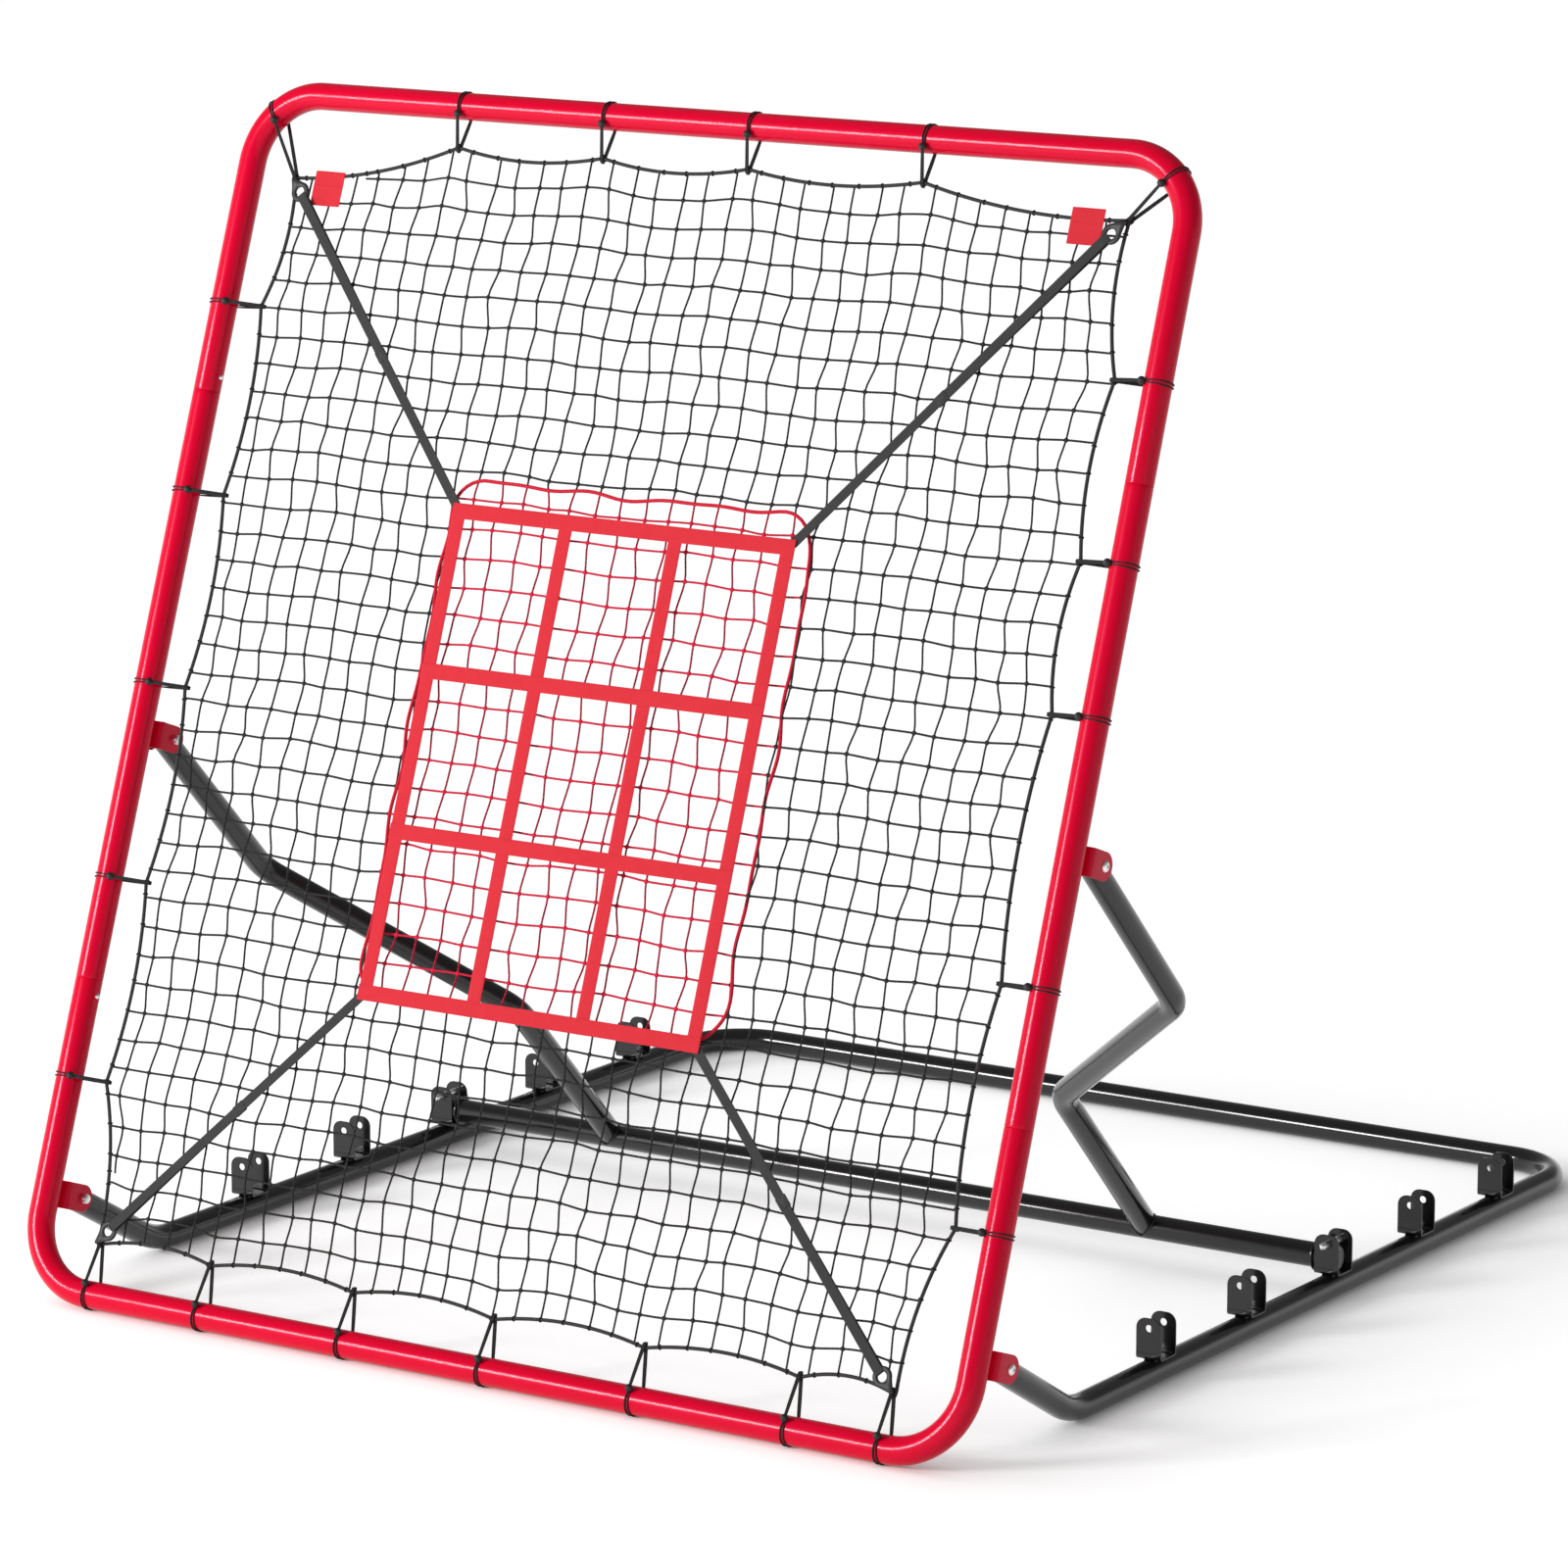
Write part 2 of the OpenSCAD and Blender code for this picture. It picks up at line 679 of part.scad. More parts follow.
module stop_collars() {
    color(BLACK) in_stand() for (side = [-1, 1]) translate([side * collar_x, 0, stand_l]) difference() {
        along_x(collar_d, collar_t);
        along_x(black_tube_d + 0.1, collar_t + 2 * eps);
    }
}

// ---- Lock pins

pin_eye_t = 3;
pin_eye_l = 11;
pin_eye_off = 6;
pin_shank_l = pin_tip + 2 * clevis_half_y + 1;

// Places its children on a pin's axis in the clevis in use, Z towards the rear, from the rear ear.
module at_pin(side) {
    on_ground() translate([side * half_w, crossbar_y + clevis_half_y, pin_z]) rotate([-90, 0, 0]) children();
}

module lock_pin(side) {
    chamfer = pin_d / 4;
    color(STEEL) at_pin(side) difference() {
        union() {
            translate([0, 0, 1 - pin_shank_l]) rotate_extrude($fn = small_fn) polygon([
                [0, 0], [pin_d / 2 - chamfer, 0], [pin_d / 2, chamfer], [pin_d / 2, pin_shank_l],
                [pin_head_d / 2, pin_shank_l], [pin_head_d / 2, pin_shank_l + pin_head_t],
                [0, pin_shank_l + pin_head_t],
            ]);
            translate([-pin_eye_t / 2, -pin_d / 2, 1 + pin_head_t - 0.01])
                cube([pin_eye_t, pin_d, pin_eye_l]);
        }
        translate([0, 0, 1 + pin_head_t + pin_eye_off]) along_x(ring_wire + 1, 2 * pin_d);
    }
}

module pull_ring(side) {
    color(STEEL) at_pin(side) translate([0, ring_r, 1 + pin_head_t + pin_eye_off])
        rotate_extrude($fn = tube_fn) translate([ring_r, 0]) circle(d = ring_wire, $fn = 6);
}

// ---- Net

// A closed cord along a line of points in the plane of the frame
module closed_cord(line, d) {
    count = len(line);
    sides = rope_sides;
    function out_at(i) = -unit(unit(inward(wrap(line, i - 1), line[i]))
        + unit(inward(line[i], wrap(line, i + 1))));
    points = [
        for (i = [0:count - 1], j = [0:sides - 1])
            let (turn = 360 * j / sides, out = out_at(i) * cos(turn) * d / 2, p = line[i])
            [p[0] + out[0], sin(turn) * d / 2, p[1] + out[1]]
    ];
    function at(i, j) = (i % count) * sides + j % sides;
    faces = [
        for (i = [0:count - 1], j = [0:sides - 1], half = [0, 1])
            half == 0 ? [at(i, j), at(i + 1, j), at(i + 1, j + 1)]
                : [at(i, j), at(i + 1, j + 1), at(i, j + 1)]
    ];
    polyhedron(points, faces, convexity = 6);
}

module edge_rope() { color(CORD_BLACK) in_frame() closed_cord(rope_line(0), rope_d); }
module panel_border() { color(WEBBING_RED) in_frame() closed_cord(panel_line(0), border_d); }

// A sheet in the plane of the frame, drawn as [x, s], centred on the net
module net_sheet(t) { rotate([90, 0, 0]) linear_extrude(t, center = true) children(); }

// The lines of the net, at the pitch of the panel's meshes
module mesh_lines(first_col, last_col, first_row, last_row) {
    for (i = [first_col:last_col])
        translate([panel_x + i * mesh_w - cord_d / 2, 0]) square([cord_d, frame_h]);
    for (i = [first_row:last_row])
        translate([-half_w, panel_s + i * mesh_h - cord_d / 2]) square([frame_w, cord_d]);
}

cord_gap = 0.4;
edge_mesh = 25;
left_cols = floor((net_half_w + panel_x - edge_mesh) / mesh_w);
right_cols = floor((net_half_w - panel_x - panel_w - edge_mesh) / mesh_w);
lower_rows = floor((panel_s - net_bottom_s - edge_mesh) / mesh_h);
upper_rows = floor((net_top_s - panel_s - panel_h - corner_lift - edge_mesh) / mesh_h);

module net_mesh() {
    color(CORD_BLACK) in_frame() net_sheet(cord_d) difference() {
        intersection() {
            polygon(rope_line(rope_d / 2 + cord_gap));
            mesh_lines(-left_cols, panel_cols + right_cols, -lower_rows, panel_rows + upper_rows);
        }
        polygon(panel_line(-border_d / 2 - cord_gap));
    }
}

module panel_mesh() {
    color(WEBBING_RED) in_frame() net_sheet(cord_d) intersection() {
        polygon(panel_line(border_d / 2 + cord_gap));
        mesh_lines(1, panel_cols - 1, 1, panel_rows - 1);
    }
}

// ---- Strike zone

module zone_uprights() {
    color(WEBBING_RED) in_frame() for (i = [0:3])
        translate([zone_x + i * (zone_w - webbing_w) / 3, upright_n - webbing_t, zone_s])
            cube([webbing_w, webbing_t, zone_h]);
}

module zone_rungs() {
    color(WEBBING_RED) in_frame() for (i = [0:3])
        translate([zone_x, rung_n - webbing_t, zone_s + i * (zone_h - webbing_w) / 3])
            cube([zone_w, webbing_t, webbing_w]);
}

// The four straps run from the zone's corners, where they are sewn on behind, to the hooks at
// the net's corners.
module at_strap(i) {
    p = zone_corners[i];
    step = net_corners[i] - p;
    in_frame() translate([p[0], 0, p[1]]) rotate([0, 90 - atan2(step[1], step[0]), 0]) children();
}
function strap_reach(i) = norm(net_corners[i] - zone_corners[i]) - hook_reach;

module strap(i) {
    rise = hook_n - hook_t / 2 - (upright_n + strap_t) - 2 * sewn_gap;
    reach = strap_reach(i) + sewn;
    color(CORD_BLACK) at_strap(i) translate([0, upright_n + sewn_gap, -sewn])
        rotate([-atan2(rise, reach), 0, 0]) translate([-strap_w / 2, 0, 0])
            cube([strap_w, strap_t, norm([rise, reach]) + 8]);
}

// A flat hook: a round eye for the strap and a tail that is tied to the net's corner
module strap_hooks() {
    color(CORD_BLACK) for (i = [0:3]) at_strap(i)
        translate([0, hook_n, strap_reach(i) + hook_d / 2]) rotate([90, 0, 0])
            linear_extrude(hook_t, center = true) difference() {
                union() {
                    circle(d = hook_d, $fn = ear_fn);
                    polygon([[-hook_d * 0.45, 4], [hook_d * 0.45, 4], [4, hook_tail], [-4, hook_tail]]);
                }
                circle(d = hook_d * 0.5, $fn = ear_fn);
            }
}

// Small red patches that hang from the rope next to the upper corners
module corner_patches() {
    places = [corner_upper_left + [patch_off, 0], corner_upper_right - [patch_off + patch_size, 0]];
    color(WEBBING_RED) in_frame() for (p = places)
        translate([p[0], -rope_d / 2 - 1.2, p[1] - patch_size + 12])
            cube([patch_size, 1, patch_size]);
}

// ---- Ties

// Outline round two circles: one of radius big at the origin, one of radius small at [reach, 0].
// Spread moves the points round the big circle outwards, so that the sides just touch it.
function keyhole(big, small, reach, spread) =
    let (a = acos((big - small) / reach), steps = 5, arc = 360 - 2 * a, part = arc / steps)
    concat(
        [for (i = [0:steps]) let (t = a + part * i, r = big * (spread ? 1 / cos(part / 2) : 1))
            [r * cos(t), r * sin(t)]],
        [for (i = [-1:1]) let (r = i == 0 ? small / cos(a / 2) : small)
            [reach + r * cos(a * i), r * sin(a * i)]]
    );

// An elastic loop round a tube and the rope, with its ball in front. U goes from the tube to the rope.
// A loop that crosses the tube aslant, by the angle skew, is wider.
module tie(reach, skew) {
    grip_r = frame_r / cos(skew) + 0.1;
    outer_r = frame_r / cos(skew) + tie_t;
    rope_grip = rope_d / 2 + 0.6;
    union() {
        linear_extrude(2 * tie_t, center = true) difference() {
            polygon(keyhole(outer_r, rope_grip + tie_t, reach, false));
            polygon(keyhole(grip_r, rope_grip, reach, true));
        }
        translate([frame_r + 6, -frame_r * 0.62, 0]) sphere(d = tie_ball_d, $fn = 6);
    }
}

// Places a tie at a point of the frame's tube, reaching towards a point of the rope. Slack is the
// room that it leaves for the rope's turn at a corner.
module tie_at(tube, rope, slack = 0, skew = 0) {
    step = rope - tube;
    in_frame() translate([tube[0], 0, tube[1]]) rotate([0, -atan2(step[1], step[0]), 0])
        tie(norm(step) + slack, skew);
}

corner_dip = frame_corner_r * (1 - cos(45));
corner_slack = 6;

// A tie from the middle of one of the frame's upper corners, at x = side * half_w
module corner_tie(side, rope) {
    tube = [side * (half_w - corner_dip), frame_h - corner_dip];
    step = rope - tube;
    tie_at(tube, rope, corner_slack, abs(45 - atan2(-step[1], -side * step[0])));
}

module ties_top() {
    color(CORD_BLACK) {
        for (x = top_ties) tie_at([x, frame_h], [x, net_top_s]);
        corner_tie(-1, corner_upper_left);
        corner_tie(1, corner_upper_right);
    }
}
// The outer two hold the rope just beside its corner, where it already climbs a little.
beside = 5;
module ties_bottom() {
    color(CORD_BLACK) for (i = [0:6])
        let (x = bottom_ties[i] + (i == 0 ? beside : i == 6 ? -beside : 0))
            tie_at([x, 0], [x, net_bottom_s], i % 6 == 0 ? 1.3 : 0);
}
module ties_left() { color(CORD_BLACK) for (s = left_ties) tie_at([-half_w, s], [-net_half_w, s]); }
module ties_right() { color(CORD_BLACK) for (s = right_ties) tie_at([half_w, s], [net_half_w, s]); }

base_tube();
clevis_at(-1, 1);  // clevis_left_1
clevis_at(-1, 2);  // clevis_left_2
clevis_at(-1, 3);  // clevis_left_3
clevis_at(-1, 4);  // clevis_left_4
clevis_at(-1, 5);  // clevis_left_5
clevis_at(1, 1);  // clevis_right_1
clevis_at(1, 2);  // clevis_right_2
clevis_at(1, 3);  // clevis_right_3
clevis_at(1, 4);  // clevis_right_4
clevis_at(1, 5);  // clevis_right_5
base_end_plugs();
frame_top_tube();
frame_bottom_tube();
frame_side_tube(-1);  // frame_left_tube
frame_side_tube(1);  // frame_right_tube
bracket_at(-1, low_pivot_s);  // low_bracket_left
bracket_at(1, low_pivot_s);  // low_bracket_right
bracket_at(-1, mid_pivot_s);  // mid_bracket_left
bracket_at(1, mid_pivot_s);  // mid_bracket_right
low_bolts();
low_nuts();
mid_bolts();
mid_nuts();
pivot_washers();
snap_button(-1, button_z_upper, 1);  // snap_button_upper_left
snap_button(1, button_z_upper, 1);  // snap_button_upper_right
snap_button(-1, button_z_lower, -1);  // snap_button_lower_left
snap_button(1, button_z_lower, -1);  // snap_button_lower_right
button_springs();
leg(-1);  // leg_left
leg(1);  // leg_right
crossbar();
stop_collars();
crossbar_plugs();
leg_plugs();
lock_pin(-1);  // lock_pin_left
lock_pin(1);  // lock_pin_right
pull_ring(-1);  // pull_ring_left
pull_ring(1);  // pull_ring_right
edge_rope();
net_mesh();
panel_mesh();
panel_border();
zone_uprights();
zone_rungs();
strap(0);  // strap_upper_left
strap(1);  // strap_upper_right
strap(2);  // strap_lower_left
strap(3);  // strap_lower_right
strap_hooks();
corner_patches();
ties_top();
ties_left();
ties_right();
ties_bottom();
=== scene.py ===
"""Pitching target net: a leaning frame of red tube with a knotted net, a webbing strike zone
and straps, held up by a black folding stand on a black floor base.

Lengths are millimetres in three sets of axes: the ground's (x right, y rear, z up), the frame's
(x right, y behind the net, z up along the frame) and the stand's (z from its pivot to its crossbar).
"""

import math

import bpy
import numpy as np
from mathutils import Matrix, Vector


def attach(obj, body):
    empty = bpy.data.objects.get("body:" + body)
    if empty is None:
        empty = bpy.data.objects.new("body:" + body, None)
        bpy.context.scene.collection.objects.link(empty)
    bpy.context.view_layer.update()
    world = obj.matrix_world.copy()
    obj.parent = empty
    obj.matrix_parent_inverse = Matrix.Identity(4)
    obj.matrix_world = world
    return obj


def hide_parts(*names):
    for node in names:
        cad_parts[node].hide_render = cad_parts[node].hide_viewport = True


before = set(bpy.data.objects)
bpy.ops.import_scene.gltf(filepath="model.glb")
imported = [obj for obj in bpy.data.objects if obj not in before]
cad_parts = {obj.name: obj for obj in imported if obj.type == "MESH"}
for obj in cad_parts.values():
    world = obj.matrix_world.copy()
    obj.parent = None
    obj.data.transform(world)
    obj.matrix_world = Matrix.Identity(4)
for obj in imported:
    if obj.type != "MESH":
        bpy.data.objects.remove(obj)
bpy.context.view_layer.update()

MM = 0.001
TAU = math.tau
X, Y, Z = np.eye(3)
SIDES = {"left": -1, "right": 1}
TUBE_SIDES = 48
BOLT_SIDES = 36

# ---- Driving sizes

FRAME_D = 38.0
FRAME_W = 1500.0
FRAME_H = 1690.0
LEAN = math.radians(20)
FRAME_CORNER = 100.0
LOWER_SEAM = 426.0
UPPER_SEAM = 1260.0
SEAM_STEP = 8.0
SPIGOT_SHOWN = 6.0
SPIGOT_INSET = 1.6
TIE_CORD = 2.0

LOW_PIVOT_S = 128.0
MID_PIVOT_S = 777.0
PIVOTS = {"low": LOW_PIVOT_S, "mid": MID_PIVOT_S}
PIVOT_N = 56.0
BRACKET_H = 38.0
BRACKET_T = 2.5
BRACKET_BEND = 8.0
BRACKET_WELD = 8.5
BOLT_D = 8.0
BOLT_HEAD_D = 15.0
BOLT_HEAD_H = 4.4
NUT_AF = 13.0
NUT_H = 8.0
WASHER_D = 18.0
PIVOT_NOSE = 14.0

BLACK_D = 35.0
BLACK_LIP = 0.6
BASE_L = 1725.0
BASE_CORNER = 100.0
RISE_ANGLE = math.radians(30)
RISE_BEND = 130.0
LEG_STRAIGHT = 318.0
LEG_STEP = 296.0
LEG_BEND = 60.0
BAR_HALF = 756.0
COLLAR_D = 44.0
COLLAR_T = 3.0
COLLAR_GAP = 2.0
PLUG_LIP = 2.0

CLEVIS_FIRST = 500.0
CLEVIS_PITCH = 243.0
CLEVIS_USED = 3
CLEVIS_W = 38.0
CLEVIS_T = 2.5
CLEVIS_BEND = 5.0
CLEVIS_PLAY = 0.5
CLEVIS_WELD = 7.5
WELD_END = 3.0
WELD_SEAT = 0.05
EAR_FOOT = 4.0
REST_GAP = 0.3
EAR_TOP = 14.0
PIN_D = 10.0
PIN_TIP = 14.0
PIN_HEAD_D = 16.0
PIN_HEAD_T = 4.0
PIN_EYE_OFF = 6.0
PIN_EYE_T = 3.0
RING_R = 11.0
RING_WIRE = 2.0

BUTTON_OFF = 22.0
BUTTON_D = 7.2
BUTTON_OUT = 3.0
LEAF_W = 10.0
LEAF_T = 0.8
LEAF_LONG = 45.0
LEAF_SHORT = 5.0

ROPE_D = 5.0
ROPE_SAG = 13.0
NET_CORD = 3.0
KNOT_R = 3.5
CORD_MARGIN = 5.0
MESH_PITCH_X = 39.0
MESH_PITCH_S = 39.8
MESH_COLUMNS = 34
MESH_ROWS = 38
FIRST_ROW = 1586.0
NET_TOP_GAP = 58.0
NET_SIDE_GAP = 64.0
NET_BOTTOM = 69.0
FIRST_COLUMN = -650.5
PANEL_W = 585.0
PANEL_H = 700.0
PANEL_S = 475.0
PANEL_DROP = 10.0
PANEL_SHIFT = 7.0
BORDER_D = 5.0
KNOT_CLEAR = 6.0

ZONE_W = 552.0
ZONE_H = 685.0
ZONE_S = 456.0
WEBBING_W = 21.6
WEBBING_T = 1.2
ZONE_N = 12.0
ZONE_SHIFT = 12.0
LAYER_GAP = 0.05
STRAP_W = 14.0
STRAP_THIN = 1.1
STRAP_GAP = 0.15
HOOK_D = 28.0
HOOK_T = 4.0
HOOK_GAP = 2.0
HOOK_NECK = 12.0
PATCH = 49.0
PATCH_OFF = 36.0
BALL_D = 11.0
TIE_BESIDE = 5.0

# Along the webbing's own map, in metres
WALE = 0.0022
STITCH_EDGE = 0.0016
STITCH_HALF = 0.0004
STITCH_PITCH = 0.0034

TOP_TIES = FRAME_W * np.array([-0.27, -0.11, 0.0467, 0.23])
BOTTOM_TIES = FRAME_W * np.array([-0.43, -0.3, -0.14, 0.0133, 0.1733, 0.3333, 0.43])
LEFT_TIES = FRAME_H * np.array([0.1716, 0.3373, 0.5, 0.6615, 0.8207])
RIGHT_TIES = FRAME_H * np.array([0.1716, 0.358, 0.5651, 0.6834, 0.8243])

# ---- Sizes that follow

FRAME_R = FRAME_D / 2
BLACK_R = BLACK_D / 2
HALF_W = FRAME_W / 2
FRAME_Z = FRAME_R + TIE_CORD
ORIGIN_Y = (BASE_L + BLACK_R - FRAME_Z) / 2
CLEVIS_FLOOR = BLACK_D + CLEVIS_T
BAR_Z = CLEVIS_FLOOR + REST_GAP + BLACK_R
PIN_Z = BAR_Z + BLACK_R + REST_GAP + PIN_D / 2
CLEVIS_HALF = BLACK_R + CLEVIS_PLAY + CLEVIS_T
BAR_Y = CLEVIS_FIRST + (CLEVIS_USED - 1) * CLEVIS_PITCH
CHEEK_OUT = FRAME_R + BRACKET_T
WASHER_T = FRAME_R - BLACK_R - REST_GAP
COLLAR_X = HALF_W - CLEVIS_W / 2 - COLLAR_T - COLLAR_GAP

PANEL_X = -PANEL_W / 2 - PANEL_SHIFT
ZONE_X = -ZONE_W / 2 - ZONE_SHIFT
UPRIGHT_N = -ZONE_N - WEBBING_T / 2
RUNG_N = UPRIGHT_N - WEBBING_T - LAYER_GAP
HOOK_N = -ROPE_D / 2 - TIE_CORD - HOOK_GAP - HOOK_T / 2
HOOK_TAIL = HOOK_D / 2 + HOOK_NECK
HOOK_REACH = HOOK_D / 2 + HOOK_TAIL + HOOK_GAP

NET_TOP = FRAME_H - NET_TOP_GAP
NET_HALF = HALF_W - NET_SIDE_GAP
UPPER_LEFT = (-NET_HALF + 16, NET_TOP - 60)
UPPER_RIGHT = (NET_HALF - 22, NET_TOP - 30)
LOWER_LEFT = (BOTTOM_TIES[0], NET_BOTTOM)
LOWER_RIGHT = (BOTTOM_TIES[-1], NET_BOTTOM)
CORNER_DIP = FRAME_CORNER * (1 - math.cos(math.pi / 4))


# ---- Axes

def unit(v):
    """Vectors divided by their own length."""
    v = np.asarray(v, float)
    return v / np.linalg.norm(v, axis=-1, keepdims=True)


class Axes:
    """An origin and three directions. Points in them become origin + x*X + y*Y + z*Z."""

    def __init__(self, origin, x=X, y=Y, z=Z):
        self.origin = np.array(origin, float)
        self.turn = np.array([x, y, z], float)

    def out(self, points):
        """Points given in these axes, as places in the object."""
        return self.origin + np.asarray(points, float) @ self.turn

    def at(self, origin, x=X, y=Y, z=Z):
        """Axes with their origin and directions given in these ones."""
        return Axes(self.out(origin), *(np.array([x, y, z], float) @ self.turn))


def frame_point(s, n):
    """The y and z over the ground of a point at s along the frame and n behind it."""
    y = s * math.sin(LEAN) + n * math.cos(LEAN)
    z = FRAME_Z + s * math.cos(LEAN) - n * math.sin(LEAN)
    return y, z


LOW_PIVOT = frame_point(LOW_PIVOT_S, PIVOT_N)
MID_PIVOT = frame_point(MID_PIVOT_S, PIVOT_N)
STAND_L = math.hypot(BAR_Y - MID_PIVOT[0], BAR_Z - MID_PIVOT[1])
STAND_WAY = ((BAR_Y - MID_PIVOT[0]) / STAND_L, (BAR_Z - MID_PIVOT[1]) / STAND_L)

GROUND = Axes((0, -ORIGIN_Y, 0))
IN_FRAME = Axes(
    (0, -ORIGIN_Y, FRAME_Z),
    y=(0, math.cos(LEAN), -math.sin(LEAN)),
    z=(0, math.sin(LEAN), math.cos(LEAN)),
)
IN_STAND = Axes(
    (0, MID_PIVOT[0] - ORIGIN_Y, MID_PIVOT[1]),
    y=(0, STAND_WAY[1], -STAND_WAY[0]),
    z=(0, STAND_WAY[0], STAND_WAY[1]),
)


def base_end(side):
    """Axes at a raised end of the base: z runs down along the tube from its pivot."""
    slope = (math.cos(RISE_ANGLE), -math.sin(RISE_ANGLE))
    return GROUND.at(
        (side * HALF_W, *LOW_PIVOT), y=(0, -slope[1], slope[0]), z=(0, *slope)
    )


# ---- Surfaces

def faces_of(rows, columns, round_rows, round_columns):
    """Corner numbers of the quads of a grid, and the same corners counted without wrapping round."""
    i, j = np.meshgrid(
        np.arange(rows if round_rows else rows - 1),
        np.arange(columns if round_columns else columns - 1),
        indexing="ij",
    )
    ring = np.stack([i, i, i + 1, i + 1], -1).reshape(-1, 4)
    spoke = np.stack([j, j + 1, j + 1, j], -1).reshape(-1, 4)
    return (ring % rows) * columns + spoke % columns, ring, spoke


class Surface:
    """Closed shells of grid points, in millimetres, that become one mesh."""

    def __init__(self):
        self.points, self.quads, self.quad_uv, self.caps = [], [], [], []
        self.count = 0

    def add(self, points, axes=GROUND, round_rows=False, round_columns=True,
            along=None, around=None, capped=True):
        """Adds a grid of rows of points, or a stack of such grids. Rows that don't wrap round are
        capped at both ends. A shell whose signed volume is negative has its faces turned over."""
        points = axes.out(points)
        copies = points.reshape(-1, *points.shape[-3:])
        rows, columns = copies.shape[1:3]
        flat = copies.reshape(len(copies), rows * columns, 3)
        quads, ring, spoke = faces_of(rows, columns, round_rows, round_columns)
        if along is None:
            along = np.arange(rows + 1.0)
        if around is None:
            around = np.arange(columns + 1.0)
        uv = np.stack([np.asarray(along)[ring], np.asarray(around)[spoke]], -1)
        caps = []
        if capped and not round_rows:
            caps = [np.arange(columns)[::-1], np.arange(columns) + (rows - 1) * columns]
        centre = flat[0].mean(0)
        a, b, c, d = (flat[0][quads[:, k]] - centre for k in range(4))
        volume = (np.cross(a, b) * c).sum() + (np.cross(a, c) * d).sum()
        if volume < 0:
            quads, uv, caps = quads[:, ::-1], uv[:, ::-1], [cap[::-1] for cap in caps]
        shift = self.count + np.arange(len(copies)) * rows * columns
        self.points.append(flat.reshape(-1, 3))
        self.quads.append((quads[None] + shift[:, None, None]).reshape(-1, 4))
        self.quad_uv.append(np.tile(uv.reshape(-1, 2), (len(copies), 1)))
        for cap in caps:
            self.caps.append(cap[None] + shift[:, None])
        self.count += len(flat) * rows * columns
        return self

    def mesh(self, name, sharp=math.radians(38)):
        """The mesh in metres. Edges that turn by more than sharp stay crisp."""
        groups = self.quads + self.caps
        corners = np.concatenate([g.ravel() for g in groups])
        sizes = np.concatenate([np.full(len(g), g.shape[1]) for g in groups])
        mesh = bpy.data.meshes.new(name)
        mesh.vertices.add(self.count)
        mesh.vertices.foreach_set("co", (np.concatenate(self.points) * MM).ravel())
        mesh.loops.add(len(corners))
        mesh.loops.foreach_set("vertex_index", corners.astype(np.int32))
        mesh.polygons.add(len(sizes))
        starts = np.concatenate([[0], np.cumsum(sizes)[:-1]])
        mesh.polygons.foreach_set("loop_start", starts.astype(np.int32))
        uv = np.zeros((len(corners), 2))
        drawn = np.concatenate(self.quad_uv) * MM
        uv[: len(drawn)] = drawn
        mesh.uv_layers.new(name="along_around")
        mesh.uv_layers[0].data.foreach_set("uv", uv.ravel())
        mesh.update(calc_edges=True)
        mesh.validate()
        mesh.polygons.foreach_set("use_smooth", np.ones(len(sizes), bool))
        mesh.set_sharp_from_angle(angle=sharp)
        return mesh


def lengths(path):
    """The distance along a path at each of its points."""
    steps = np.linalg.norm(np.diff(path, axis=0), axis=1)
    return np.concatenate([[0], np.cumsum(steps)])


def turns(count):
    """Equal angles round a full turn."""
    return np.arange(count) * TAU / count


def polar(radius, turn, centre=(0.0, 0.0)):
    """Points round a centre: centre + radius*(cos, sin) of each angle."""
    return np.asarray(centre) + radius * np.stack([np.cos(turn), np.sin(turn)], -1)


def circle(radius, sides):
    """Points at equal angles round a circle."""
    return polar(radius, turns(sides))


def rounded(corners, radii, per_bend=14):
    """Straights joined by arcs. Each arc starts r*tan(turn/2) before its corner and follows
    start + r*(sin(a)*ahead + (1 - cos(a))*inwards) for a from 0 to the turn."""
    corners = np.asarray(corners, float)
    path = [corners[:1]]
    for k, radius in zip(range(1, len(corners) - 1), radii):
        back, on = unit(corners[k - 1] - corners[k]), unit(corners[k + 1] - corners[k])
        turn = math.pi - math.acos(float(np.clip(back @ on, -1, 1)))
        start = corners[k] + back * radius * math.tan(turn / 2)
        inwards = unit(on - (on @ back) * back)
        a = np.linspace(0, turn, per_bend)[:, None]
        path.append(start + radius * (np.sin(a) * -back + (1 - np.cos(a)) * inwards))
    path.append(corners[-1:])
    return np.concatenate(path)


def round_way(loop):
    """The direction of a closed path at each point: from the point before to the one after."""
    return unit(np.roll(loop, -1, 0) - np.roll(loop, 1, 0))


def raised(sections, heights):
    """Flat sections, each lifted to its own height along z."""
    heights = np.broadcast_to(np.asarray(heights, float)[:, None, None], (*sections.shape[:2], 1))
    return np.concatenate([sections, heights], -1)


def in_net(path):
    """Points (x, s) of the net's plane as (x, 0, s)."""
    return np.insert(path, 1, 0.0, axis=-1)


def rings(path, section, up, scale=None, closed=False):
    """A ring at each point of a path: point + a*side + b*top for each (a, b) of the section,
    where side is square to the path and to up, and top to the path and to side."""
    path = np.asarray(path, float)
    if closed:
        ahead = round_way(path)
    else:
        step = unit(np.diff(path, axis=0))
        ahead = unit(np.concatenate([step[:1], step[:-1] + step[1:], step[-1:]]))
    side = unit(np.cross(ahead, np.broadcast_to(np.asarray(up, float), path.shape)))
    top = np.cross(side, ahead)
    section = np.broadcast_to(np.asarray(section, float), (len(path), *np.shape(section)))
    if scale is not None:
        section = section * np.asarray(scale)[:, None, None]
    return path[:, None] + section[..., :1] * side[:, None] + section[..., 1:] * top[:, None]


